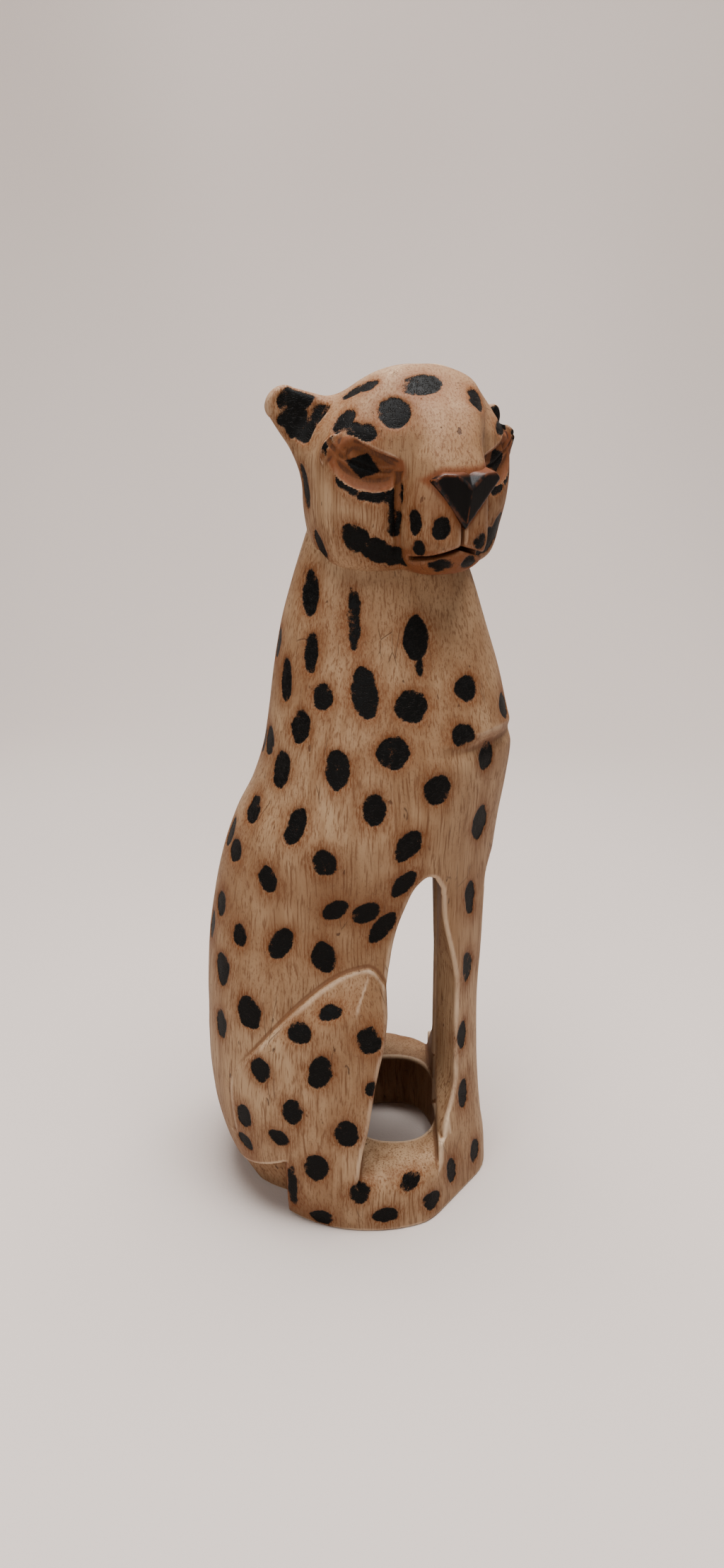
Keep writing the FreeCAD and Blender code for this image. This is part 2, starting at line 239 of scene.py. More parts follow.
@dataclass(frozen=True)
class Mesher:
    """Turns a field into an even skin of quads: one point in each cell that the surface crosses."""

    low: Point3
    high: Point3
    step: float
    coarse: int = 5

    def values(self, solid: Field) -> Array:
        """Distances on the grid's nodes, worked out in full only near the surface."""
        size = (np.array(self.high) - self.low) / (self.step * self.coarse)
        blocks = np.ceil(size).astype(int) + 1
        centres = np.indices(blocks).reshape(3, -1).T
        half = self.step * (self.coarse - 1) / 2
        places = np.array(self.low) + centres * self.step * self.coarse + half
        rough = solid(*places.T)
        reach = self.step * self.coarse * math.sqrt(3.0) / 2 * 1.7
        near = np.abs(rough) < reach
        grid = np.empty(blocks * self.coarse, np.float32)
        shape = (blocks[0], self.coarse, blocks[1], self.coarse, blocks[2], self.coarse)
        tiles = grid.reshape(shape).transpose(0, 2, 4, 1, 3, 5)
        tiles[...] = np.where(rough > 0, reach, -reach).reshape(*blocks, 1, 1, 1)
        inner = np.indices((self.coarse,) * 3).reshape(3, -1).T * self.step
        active = centres[near]
        for start in range(0, len(active), 4000):
            some = active[start:start + 4000]
            points = (np.array(self.low) + some * self.step * self.coarse)[:, None, :] + inner
            result = solid(*points.reshape(-1, 3).T)
            tiles[tuple(some.T)] = result.reshape(len(some), *(self.coarse,) * 3)
        return self.untangled(grid)

    @staticmethod
    def square_corner(grid: Array, plane: tuple[int, int], ends: tuple[int, int]) -> Array:
        """View of the grid's nodes at one corner of every square in a plane of the grid."""
        cut = [slice(None)] * 3
        for axis, end in zip(plane, ends):
            cut[axis] = slice(1, None) if end else slice(None, -1)
        return grid[tuple(cut)]

    def untangled(self, grid: Array) -> Array:
        """The grid with crossed corners opened, so that no two sheets of the skin share an edge."""
        for _ in range(4):
            found = 0
            for first, second in ((0, 1), (0, 2), (1, 2)):
                a, b, c, d = (self.square_corner(grid, (first, second), ends)
                              for ends in ((0, 0), (1, 1), (0, 1), (1, 0)))
                one = (a < 0) & (b < 0) & (c >= 0) & (d >= 0)
                other = (a >= 0) & (b >= 0) & (c < 0) & (d < 0)
                found += int(one.sum() + other.sum())
                c[one] = d[one] = a[other] = b[other] = -0.05 * self.step
            if not found:
                break
        return grid

    def skin(self, solid: Field) -> tuple[Array, Array]:
        """Mesh the surface of a solid.

        Args:
            solid: The field to mesh.

        Returns:
            Points in mm and quads of point numbers, wound to face outwards.
        """
        grid = self.values(solid)
        inside = grid < 0
        cells = np.array(grid.shape) - 1
        corners = [np.array(c) for c in np.ndindex(2, 2, 2)]

        def shifted(array: Array, corner: Array) -> Array:
            """The array's values at one corner of every cell."""
            return array[tuple(slice(c, c + n) for c, n in zip(corner, cells))]

        count = sum(shifted(inside, c).astype(np.int8) for c in corners)
        where = np.argwhere((count > 0) & (count < 8))
        total, crossings = np.zeros((len(where), 3)), np.zeros(len(where))
        for start in corners:
            for axis in range(3):
                if start[axis]:
                    continue
                end = start.copy()
                end[axis] = 1
                a, b = grid[tuple((where + start).T)], grid[tuple((where + end).T)]
                crossed = (a < 0) != (b < 0)
                share = np.where(crossed, a / np.where(crossed, a - b, 1.0), 0.0)
                place = start + np.zeros((len(where), 3))
                place[:, axis] += share
                total += place * crossed[:, None]
                crossings += crossed
        points = np.array(self.low) + (where + total / crossings[:, None]) * self.step
        number = np.full(cells, -1, np.int32)
        number[tuple(where.T)] = np.arange(len(where))
        quads = []
        for axis in range(3):
            second, third = (axis + 1) % 3, (axis + 2) % 3
            lead = [slice(1, None)] * 3
            lead[axis] = slice(None, -1)
            ahead = [slice(1, None)] * 3
            here, there = inside[tuple(lead)], inside[tuple(ahead)]
            edges = np.argwhere(here != there)
            step_a, step_b = np.zeros(3, int), np.zeros(3, int)
            step_a[second], step_b[third] = 1, 1
            base = edges.copy()
            base[:, second] += 1
            base[:, third] += 1
            around = [base - step_a - step_b, base - step_b, base, base - step_a]
            keep = np.all([np.all((a >= 0) & (a < cells), axis=1) for a in around], axis=0)
            ring = np.stack([number[tuple(a[keep].T)] for a in around], axis=1)
            outward = here[tuple(edges[keep].T)]
            ring[~outward] = ring[~outward][:, ::-1]
            quads.append(ring)
        return self.settled(solid, points), np.concatenate(quads)

    def settled(self, solid: Field, points: Array) -> Array:
        """The points moved along the slope of the field onto the surface."""
        for _ in range(2):
            slope, length = slope_of(solid, points)
            distance = solid(*points.T)
            move = np.clip(distance / length, -self.step / 2, self.step / 2)
            points = points - slope * move[:, None]
        return points


def slope_of(solid: Field, points: Array, reach: float = 0.25) -> tuple[Array, Array]:
    """Unit slope of a field, which is the outward normal on its surface.

    Args:
        solid: The field.
        points: Places in mm, one a row.
        reach: Half the distance over which the slope is taken, mm.

    Returns:
        Unit slopes and their lengths before scaling.
    """
    slope = np.zeros_like(points)
    for axis in range(3):
        nudge = np.zeros(3)
        nudge[axis] = reach
        slope[:, axis] = solid(*(points + nudge).T) - solid(*(points - nudge).T)
    length = np.linalg.norm(slope, axis=1) + 1e-9
    return slope / length[:, None], length / (2 * reach)


# ---------------------------------------------------------------------------------------------------------
# The body


@dataclass
class BodyForm:
    """Neck, trunk, legs and feet, in the frame's own directions and in mm."""

    squareness: float = 2.15
    ledge: float = 7.2
    slot_half: float = 8.5
    slot_foot: float = 13.0
    well_half: float = 28.0
    well_depth: float = 17.5
    well_shift: float = -2.0
    well_middle: float = -14.5
    ring_back: float = 8.0
    neck_end: float = 247.0
    bevel_width: float = 12.0
    bevel_slope: float = 0.5
    pare_across: float = 0.339
    pare_along: float = 0.941
    facet_angle: float = 36.0
    keel_angle: float = 27.0
    heel_back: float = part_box("hind_foot_right")[1][1] / MM
    heel_top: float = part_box("hind_foot_right")[1][2] / MM
    instep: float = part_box("hind_foot_right")[0][1] / MM
    rail_top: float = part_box("side_rail_right")[1][2] / MM
    leg_back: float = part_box("forefoot_right")[1][1] / MM
    leg_top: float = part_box("foreleg_right")[1][2] / MM
    undercut_slope: float = 0.65
    back: Stations = field(default_factory=lambda: Stations(
        (-5, 38), (0, 41), (10, 47.5), (22, 52.8), (36, 55.7), (52, 56.8), (72, 56.5), (95, 55.3),
        (117, 52), (132, 48.5), (146, 43.5), (159, 37), (173, 32.5), (186, 30.3), (199, 28.5), (216, 25.4),
        (230, 21.5), (250, 15)))
    front: Stations = field(default_factory=lambda: Stations(
        (-5, -52.2), (0, -52), (10, -51.5), (22, -50), (36, -48.5), (52, -47.5), (72, -47.2), (95, -48.3),
        (117, -50), (132, -52), (146, -54), (159, -56), (172, -57.3), (178, -55.8), (186, -53.6),
        (199, -50.4), (216, -45), (230, -40.5), (250, -33)))
    half_width: Stations = field(default_factory=lambda: Stations(
        (-5, 52), (0, 52.3), (10, 52.8), (22, 52.5), (36, 52), (52, 51), (72, 49.5), (95, 46.5),
        (117, 42.5), (132, 41), (146, 40), (159, 38.5), (173, 37), (186, 34), (199, 30.5), (216, 25.5),
        (230, 21.5), (250, 18.5)))
    ridge: Stations = field(default_factory=lambda: Stations(
        (0, 15.5), (22, 16.0), (60, 15.0), (117, 12.0), (150, 8.0), (175, 7.0)))
    belly: tuple[Point2, ...] = (
        (-25.5, 134), (-23.3, 133), (-20, 129), (-17, 121.5), (-14.8, 115), (-13.4, 109), (-12.2, 101.5),
        (-11.3, 95), (-11, 89.5), (-11.5, 83.5), (-10.6, 75), (-8.6, 66), (-6.8, 56), (-4.8, 42),
        (-2.8, 33), (-1.5, 22), (-1, 8))
    thigh: tuple[Point2, ...] = (
        (60, 36), (49, 48.5), (40.5, 62.5), (27, 79.5), (15.5, 91), (6, 98), (-2, 101), (-6.5, 100.5),
        (-10.5, 95), (-14.5, 88), (-22, 74))

    def __post_init__(self) -> None:
        """Work out the side view's outlines."""
        far = 80.0
        behind_leg = [(self.leg_back - 0.5, 8.0), (self.leg_back + 0.5, 128.0), (self.leg_back + 3.0, 133.0)]
        self.arch = SideProfile(list(self.belly), behind_leg)
        self.thigh_side = SideProfile(list(self.thigh), [(-far, 91), (-far, -20), (far, -20), (far, 36)])

    def billet(self, x: Array, y: Array, z: Array) -> Array:
        """The billet's outer form with its carved profile, before any cut."""
        back, front = self.back(z), self.front(z)
        return oval(x, y - (back + front) / 2, self.half_width(z), (back - front) / 2, self.squareness)

    def facets(self, x: Array, y: Array, z: Array) -> Array:
        """Two broad planes each side that bring the chest and the forelegs to a blunt prow."""
        ridge = self.ridge(z)
        ridge_y = self.front(z) + ridge * math.tan(math.radians(self.keel_angle)) * ramp(z, 90, 150) + 0.8
        keel, cheek = math.radians(self.keel_angle), math.radians(self.facet_angle)
        out = np.abs(x) - ridge
        near = -math.cos(keel) * (y - ridge_y) + math.sin(keel) * out
        far = -math.cos(cheek) * (y - ridge_y) + math.sin(cheek) * out
        near = np.where(z > 120, near, -(y - ridge_y) - 1.5)
        relief = 40.0 * ramp(z, 176.5, 196.0)
        return smooth_overlap(near, far, 1.2) - relief - 1.9 * ramp(z, 60, 120)

    def flank(self, y: Array, z: Array, billet: Array) -> Array:
        """The billet drawn in above and behind the thigh, so that the thigh stands proud."""
        depth = self.ledge * (1 - ramp(z, 96, 150)) * (1 - ramp(y, 8, 51)) * ramp(y, -38, -16)
        return billet + depth

    def seat(self, x: Array, y: Array, z: Array) -> Array:
        """The foot of the rump between the heels."""
        return oval(x, y - 9.5, np.maximum(33 + 0.28 * z, 9.0), np.maximum(36.5 + 0.45 * z, 9.0), 2.15)

    def body(self, x: Array, y: Array, z: Array) -> Array:
        """Signed distance to the whole body below the head."""
        billet = self.billet(x, y, z)
        billet = smooth_overlap(billet, self.facets(x, y, z), 2.0 + 6.0 * ramp(z, 40, 120))
        solid = smooth_union(self.flank(y, z, billet), self.raised_thigh(x, y, z, billet), 0.8)
        solid = np.minimum(solid, np.maximum(billet, z - self.heel_top - 2.0))
        solid = smooth_cut(solid, self.undercut(x, y, z), 0.8)
        solid = smooth_cut(solid, self.arch(y, z), 1.6)
        solid = np.maximum(smooth_union(solid, self.ring(x, y, z, billet), 1.0), billet)
        solid = smooth_cut(solid, np.maximum(self.well(x, y), z - self.rail_top - 12.0), 1.4)
        solid = smooth_cut(solid, self.slot(x, y, z), 1.6)
        solid = smooth_cut(solid, np.maximum(-self.pared(x, y, z), y + 22.0), 1.0)
        solid = smooth_union(solid, self.tail(x, y, z), 1.5)
        solid = np.maximum(solid, z - self.neck_end)
        return smooth_overlap(solid, -z, 0.5)

    def undercut(self, x: Array, y: Array, z: Array) -> Array:
        """The wedge sawn out behind the heels, under the rump, which leaves the seat standing."""
        lift = self.undercut_slope
        under = (z - self.heel_top + lift * (y - self.heel_back)) / math.hypot(1.0, lift)
        return np.maximum(np.maximum(self.heel_back - y, under), -self.seat(x, y, z))

    def ring(self, x: Array, y: Array, z: Array, billet: Array) -> Array:
        """The low rails that join the hind feet to the forefeet, with their upper edge rounded over."""
        rail = smooth_overlap(billet, z - self.rail_top + 0.3 + 0.06 * (np.abs(x) - 38), 7.0)
        return np.maximum(np.maximum(rail, y - self.instep - self.ring_back), self.leg_back - 6.0 - y)

    def slot(self, x: Array, y: Array, z: Array) -> Array:
        """The round-topped slot between the forelegs."""
        crown = self.leg_top - self.slot_half - 4.0
        slot = np.where(z > crown, np.hypot(x, z - crown), np.abs(x)) - self.slot_half
        return np.maximum(np.maximum(slot, y - self.leg_back - 6.0), self.slot_foot - z)

    def raised_thigh(self, x: Array, y: Array, z: Array, billet: Array) -> Array:
        """The thigh with its bevelled upper edge, widest at the knee."""
        edge = self.thigh_side(y, z)
        bevel = 1.0 + (self.bevel_width - 1.0) * (1 - ramp(y, -6, 42))
        sloped = (billet + self.bevel_slope * (edge + bevel)) / math.hypot(1.0, self.bevel_slope)
        return smooth_overlap(smooth_overlap(billet, sloped, 0.9), np.maximum(edge, 33.0 - np.abs(x)), 1.2)

    def well(self, x: Array, y: Array) -> Array:
        """The round well in the middle of the ring of feet and rails, without a floor or a top."""
        return oval(x - self.well_shift, y - self.well_middle, self.well_half, self.well_depth, 2.6)

    def pared(self, x: Array, y: Array, z: Array) -> Array:
        """Depth of the slope pared off each foreleg's outer back edge, which fades out at both ends."""
        depth = self.pare_across * (np.abs(x) - self.slot_half) + self.pare_along * (y - self.leg_back - 0.7)
        depth = depth - 7.0 * ramp(z, 84, 126) - 30.0 * ramp(z, 125, 132)
        return depth - 7.0 * (1 - ramp(z, 26, 50)) - 30.0 * (1 - ramp(z, 22, 29))

    def tail(self, x: Array, y: Array, z: Array) -> Array:
        """The tail in low relief down the middle of the back."""
        low, high = (v / MM for v in (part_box("tail")[0][2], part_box("tail")[1][2]))
        swell = np.sin(np.pi * np.clip((z - low) / (high - low), 0, 1))
        raised = 2.1 * ramp(swell, 0.0, 0.6) - 1.6
        band = oval(x, y - self.back(z) + 5.0 - raised, 3.5 + 3.0 * swell, 5.0, 2.0)
        return np.maximum(band, np.maximum(low - z, z - high))


# ---------------------------------------------------------------------------------------------------------
# The head


@dataclass
class HeadForm:
    """Head in its own directions: ahead, right and up from its middle, in mm."""

    turn: float = 63.0
    middle: Point3 = (0.0, -18.3, 268.0)
    skull_back: float = 31.0
    skull_front: float = 22.5
    skull_half: float = 35.5
    skull_height: float = 33.0
    muzzle_half: float = 15.0
    eye_place: Point3 = (15.8, 24.6, 2.4)
    eye_tilt: float = 17.0
    ear_root: Point3 = (-9.0, 23.0, 7.0)
    ear_tip: Point3 = (-16.0, 42.0, 19.5)
    ear_facing: Point3 = (0.93, 0.30, 0.10)
    left_ear_drop: float = 7.0
    left_ear_reach: float = 1.08
    mouth_half: float = 15.6
    mouth_height: float = -23.1
    lean: float = 4.5
    share: Stations = field(default_factory=lambda: Stations(
        (-1.15, 0.60), (-1.0, 0.80), (-0.90, 0.88), (-0.66, 0.96), (-0.30, 1.0), (0.0, 1.0), (0.30, 0.95),
        (0.60, 0.785), (0.84, 0.53), (0.97, 0.25), (1.03, 0.02)))
    muzzle_reach: Stations = field(default_factory=lambda: Stations(
        (-36, 24), (-32, 28.5), (-27, 33.2), (-20, 35), (-10, 35), (0, 34), (8, 30.3), (17, 23.0), (26, 11),
        (34, 3)))
    muzzle_width: Stations = field(default_factory=lambda: Stations(
        (-36, 9), (-32, 11.5), (-27, 14), (-20, 15.2), (-10, 15.0), (0, 14.2), (8, 13.8), (17, 14.5),
        (26, 14), (34, 9)))

    def __post_init__(self) -> None:
        """Work out the head's directions in the frame."""
        turn = math.radians(self.turn)
        self.ahead = np.array([-math.sin(turn), -math.cos(turn), 0.0])
        self.right = np.array([-math.cos(turn), math.sin(turn), 0.0])
        self.up = np.array([0.0, 0.0, 1.0])

    def own(self, x: Array, y: Array, z: Array) -> tuple[Array, Array, Array]:
        """Places in the head's own directions."""
        dx, dy, dz = x - self.middle[0], y - self.middle[1], z - self.middle[2]
        dy = dy + self.lean * ramp(dz, 2, 30)
        return (dx * self.ahead[0] + dy * self.ahead[1], dx * self.right[0] + dy * self.right[1], dz)

    def place(self, ahead: float, right: float, up: float) -> Array:
        """A place in the frame, in mm, from one in the head's own directions."""
        return np.array(self.middle) + self.ahead * ahead + self.right * right + self.up * up

    def skull(self, a: Array, w: Array, h: Array) -> Array:
        """Cranium and cheeks."""
        slope = 0.13 * np.maximum(a + 4.0 - 0.6 * w, 0.0) * ramp(h, 4, 20)
        share = self.share((h + slope) / self.skull_height)
        front = self.skull_front * (1.0 - 0.16 * ramp(h, 10, 30))
        ahead = np.where(a > 0, front, self.skull_back) * share
        narrow = 1.0 - ramp(-w, 0, 12) * (0.07 * ramp(-h, 2, 24) + 0.11 * ramp(h, 2, 26))
        body = oval(a, w, ahead, self.skull_half * share * narrow, 2.25)
        ends = np.maximum(h - self.skull_height + 1.9, -h - self.skull_height)
        return smooth_overlap(body, ends, 6.0)

    def muzzle(self, a: Array, w: Array, h: Array) -> Array:
        """Muzzle, with the bridge that fans out into the forehead."""
        middle = 2.0
        body = oval(a - middle, w, np.maximum(self.muzzle_reach(h) - middle, 2.0), self.muzzle_width(h), 3.4)
        return smooth_overlap(body, np.maximum(-h - 32.7, h - 26.5), 5.0)

    def eye_axes(self, side: Side) -> tuple[Array, Array, Array, Array]:
        """Middle of an eye and its directions: outward along the lid, up across it and out of the face."""
        sign = side.value
        a, w, h = self.eye_place
        centre = np.array([a, sign * w, h])
        facing = np.array([0.86, sign * 0.50, -0.02])
        facing /= np.linalg.norm(facing)
        level = np.array([-facing[1] * sign, facing[0] * sign, 0.0])
        level /= np.linalg.norm(level)
        tilt = math.radians(self.eye_tilt)
        along = math.cos(tilt) * level + math.sin(tilt) * np.array([0.0, 0.0, 1.0])
        across = np.cross(along, facing) * -sign
        return centre, along, across, facing

    def eye_own(self, a: Array, w: Array, h: Array, side: Side) -> tuple[Array, Array, Array]:
        """Places in an eye's own directions."""
        centre, along, across, facing = self.eye_axes(side)
        rel = np.stack([a - centre[0], w - centre[1], h - centre[2]])
        return tuple(np.tensordot(axis, rel, axes=1) for axis in (along, across, facing))

    def socket(self, u: Array, v: Array, n: Array) -> Array:
        """The knife-cut hollow about an eye, with a straight upper lid."""
        hollow = ellipsoid(u, v, n - 2.6, (13.0, 8.4, 5.6))
        return smooth_overlap(hollow, v - 4.4 - 0.10 * u + 0.5 * n, 0.6)

    def eyeball(self, u: Array, v: Array, n: Array) -> Array:
        """The eye left standing in its socket, cut in two slopes that meet in a ridge."""
        fold = v + 1.7 - 0.022 * u * u
        slopes = np.maximum(n + 0.9 - 0.30 * fold, n + 0.9 + 0.34 * fold)
        crease = 1.1 * np.exp(-(fold / 0.75) ** 2) + 0.9 * np.exp(-((u - 6.3) / 0.6) ** 2) * (fold > 0)
        return smooth_overlap(slopes + crease, oval(u, v, 15.0, 10.0, 2.0), 0.8)

    def ear_drop(self, side: Side) -> float:
        """How far an ear sits below the right one."""
        return self.left_ear_drop if side is Side.LEFT else 0.0

    def lip(self, w: Array, h: Array) -> Array:
        """Height over the mouth line, which falls away to each side."""
        return h - self.mouth_height + 0.30 * np.abs(w)

    def ear(self, a: Array, w: Array, h: Array, side: Side) -> Array:
        """One ear, a thick leaf with a hollowed face."""
        root, tip = np.array(self.ear_root), np.array(self.ear_tip)
        w = w * side.value * (self.left_ear_reach if side is Side.LEFT else 1.0)
        h = h + self.ear_drop(side)
        length = tip - root
        facing = np.array(self.ear_facing)
        facing -= length * (facing @ length) / (length @ length)
        facing /= np.linalg.norm(facing)
        rel = np.stack([a - root[0], w - root[1], h - root[2]])
        share = np.clip(np.tensordot(length, rel, axes=1) / (length @ length), 0.0, 1.0)
        off = rel - share * length[:, None]
        through = np.tensordot(facing, off, axes=1)
        flat = np.sqrt(np.maximum((off**2).sum(0) - through**2, 0.0))
        radius, thick = 13.0 - 7.6 * share, 6.2 - 2.8 * share
        leaf = oval(flat, through, radius, thick, 2.3)
        hollow = ellipsoid(flat, through - 6.6, np.zeros_like(share), (8.5, 4.0, 1.0))
        return smooth_cut(leaf, np.where(share > 0.1, hollow, 9.0), 1.5)

    def head(self, x: Array, y: Array, z: Array) -> Array:
        """Signed distance to the head without the nose leather."""
        a, w, h = self.own(x, y, z)
        solid = self.skull(a, w, h)
        for side in Side:
            solid = smooth_union(solid, self.ear(a, w, h, side), 7.0)
        solid = smooth_union(solid, self.muzzle(a, w, h), 1.6 + 5.0 * ramp(h, -4, 12))
        for side in Side:
            u, v, n = self.eye_own(a, w, h, side)
            solid = smooth_cut(solid, self.socket(u, v, n), 0.9)
            solid = smooth_union(solid, np.maximum(self.eyeball(u, v, n), -n - 9.0), 0.3)
        solid = smooth_cut(solid, self.mouth(a, w, h), 0.9)
        solid = smooth_cut(solid, self.philtrum(a, w, h), 0.8)
        return smooth_cut(solid, self.cheek_crease(a, w, h), 1.4)

    def mouth(self, a: Array, w: Array, h: Array) -> Array:
        """The knife line between the lips."""
        line = np.hypot(self.lip(w, h), np.maximum(23.0 - a, 0.0)) - 0.75
        return np.maximum(line, np.abs(w) - self.mouth_half)

    def philtrum(self, a: Array, w: Array, h: Array) -> Array:
        """The short upright line from the nose to the mouth."""
        line = np.hypot(w, np.maximum(34.0 - a, 0.0)) - 0.7
        return np.maximum(line, np.abs(h + 19.0) - 3.2)

    def cheek_crease(self, a: Array, w: Array, h: Array) -> Array:
        """The upright crease on each side, where the muzzle meets the cheek."""
        line = np.hypot(np.abs(w) - self.muzzle_half - 0.4, a - 20.2) - 0.9
        return np.maximum(line, np.abs(h + 14.5) - 14.0)

    def nose(self, x: Array, y: Array, z: Array) -> Array:
        """Signed distance to the nose leather, a wedge of flat knife cuts."""
        a, w, h = self.own(x, y, z)
        aside = np.abs(w + 0.13 * (h + 15.0))
        top = (h + 0.4) * 0.92 + (a - 35.5) * 0.30
        front = (a - 37.2) * 0.96 + aside * 0.26 - (h + 4.0) * 0.03
        dip = (a - 34.4) * 0.80 + (h + 1.0) * 0.60 - aside * 0.30
        wing = (aside - 10.2) * 0.64 + (h + 0.6) * 0.77
        under = aside * 0.78 - (h + 17.0) * 0.65
        behind = 28.0 - a
        body = smooth_overlap(smooth_overlap(top, front, 0.7), under, 1.0)
        body = smooth_overlap(smooth_overlap(body, dip, 0.7), wing, 0.8)
        return np.maximum(np.maximum(body, behind), aside - 13.2)


# ---------------------------------------------------------------------------------------------------------
# Burnt spots


@dataclass(frozen=True)
class Spot:
    """One burnt spot, placed by where a line from outside meets the surface.

    On the body, height is above the ground and bearing is about an upright line, from the animal's right (0)
    towards its chest (90). On the head, both are angles about the head's middle: height is the elevation and
    bearing runs from straight ahead (0) to its right (90). Sizes are in mm and angles in degrees.
    """

    height: float
    bearing: float
    long: float
    wide: float
    tilt: float = 0.0

    def mirrored(self) -> "Spot":
        """The same spot on the other side of the head."""
        return Spot(self.height, -self.bearing, self.long, self.wide, -self.tilt)


BODY_SPOTS = (
    Spot(228, -61, 15, 7, -12), Spot(221, -28, 20, 4, -3), Spot(215, 18, 14, 8, 3),
    Spot(206, 19, 6, 2, 3), Spot(209, -51, 13, 5, -4), Spot(199, -65, 14, 6, -14),
    Spot(196, -40, 8, 7, -6), Spot(198, -16, 17, 8, -10), Spot(194, 12, 10, 10), Spot(198, 46, 8, 8, 10),
    Spot(188, 76, 8, 9, 45), Spot(185, -50, 11, 7, 7), Spot(176, -73, 10, 7, -27),
    Spot(169, -58, 13, 8, -3), Spot(173, -27, 13, 8, -3), Spot(179, 1, 10, 10), Spot(183, 40, 8, 9),
    Spot(173, 59, 10, 8, 24), Spot(166, 24, 10, 10), Spot(153, -69, 10, 8, -42),
    Spot(152, -44, 14, 6, 16), Spot(160, -8, 10, 7), Spot(148, 60, 13, 9, -6), Spot(147, 9, 12, 7, 38),
    Spot(137, -72, 8, 8, -28), Spot(132, -53, 9, 7, -3), Spot(141, -30, 9, 8), Spot(133, 7, 11, 6, 35),
    Spot(116, -74, 8, 8, -22), Spot(109, -61, 8, 6, -8), Spot(109, -47, 12, 7, 27),
    Spot(123, -26, 10, 6, 55), Spot(122, -12, 10, 7, 66), Spot(116, -4, 14, 6, 34), Spot(105, -31, 11, 8),
    Spot(94, -67, 12, 8, -8), Spot(82, -54, 12, 9, -17), Spot(72, -66, 11, 7), Spot(88, -24, 8, 5, 66),
    Spot(80, -34, 8, 8, -8), Spot(78, -8, 10, 9), Spot(63, -47, 9, 8), Spot(66, -26, 12, 8, 14),
    Spot(59, -7, 5, 5), Spot(40, -54, 9, 7, 6), Spot(49, -35, 10, 7), Spot(37, -40, 8, 6, -73),
    Spot(42, -16, 10, 8), Spot(28, -55, 8, 6, -85), Spot(27, -27, 11, 8), Spot(17, -11, 9, 7, 2),
    Spot(19, 10, 9, 6, 63), Spot(13, 35, 11, 6, -8), Spot(8, 20, 7, 9, 31), Spot(7, -1, 9, 6, 90),
    Spot(4, -26, 9, 6, 80), Spot(12, 58, 10, 6, 4), Spot(16, -36.3, 21, 3.4, 4), Spot(120, 55, 13, 6, -3),
    Spot(93, 53, 12, 6, -4), Spot(65, 49, 11, 6), Spot(40, 49, 11, 6, 4))

FACE_SPOTS = (
    Spot(37, 48, 11, 9, -21), Spot(45, 87, 13, 5, 50), Spot(25, 76, 9, 6, 16), Spot(12, 77, 10, 4.5, 24),
    Spot(21, 63, 10, 5.5, -79), Spot(3, 72, 8, 5, -28), Spot(-7, 66, 9, 6, -35), Spot(-14, 52, 8, 4, 89),
    Spot(-14, 40, 9, 5.5, -1), Spot(-30, 40, 10, 6, -11), Spot(-34, 62, 10, 8, -50),
    Spot(-42, 51, 11, 8, -61), Spot(-49, 38, 9, 6, -72), Spot(-10, 100, 14, 5, -20),
    Spot(-37, 89, 11, 5, -12), Spot(-27, 26, 7, 4.5, -2))

HEAD_SPOTS = (
    Spot(60, 32, 15, 8, 78), Spot(46, -34, 8, 9, -43), Spot(-25, 12, 7, 6, 30), Spot(-37, 24, 5, 4, 8),
    Spot(-32, -11, 5, 6, -15), Spot(-42, 11, 16, 9, 78), Spot(-41, -7, 7, 5, -30))

NAPE_SPOTS = (
    Spot(38, 125, 11, 8, 30), Spot(12, 132, 10, 8), Spot(-16, 124, 11, 8, -20), Spot(30, 168, 12, 9),
    Spot(2, 160, 10, 8, 15), Spot(-24, 156, 10, 8), Spot(66, 140, 9, 8))


Landed = tuple[Array, Array, Spot]


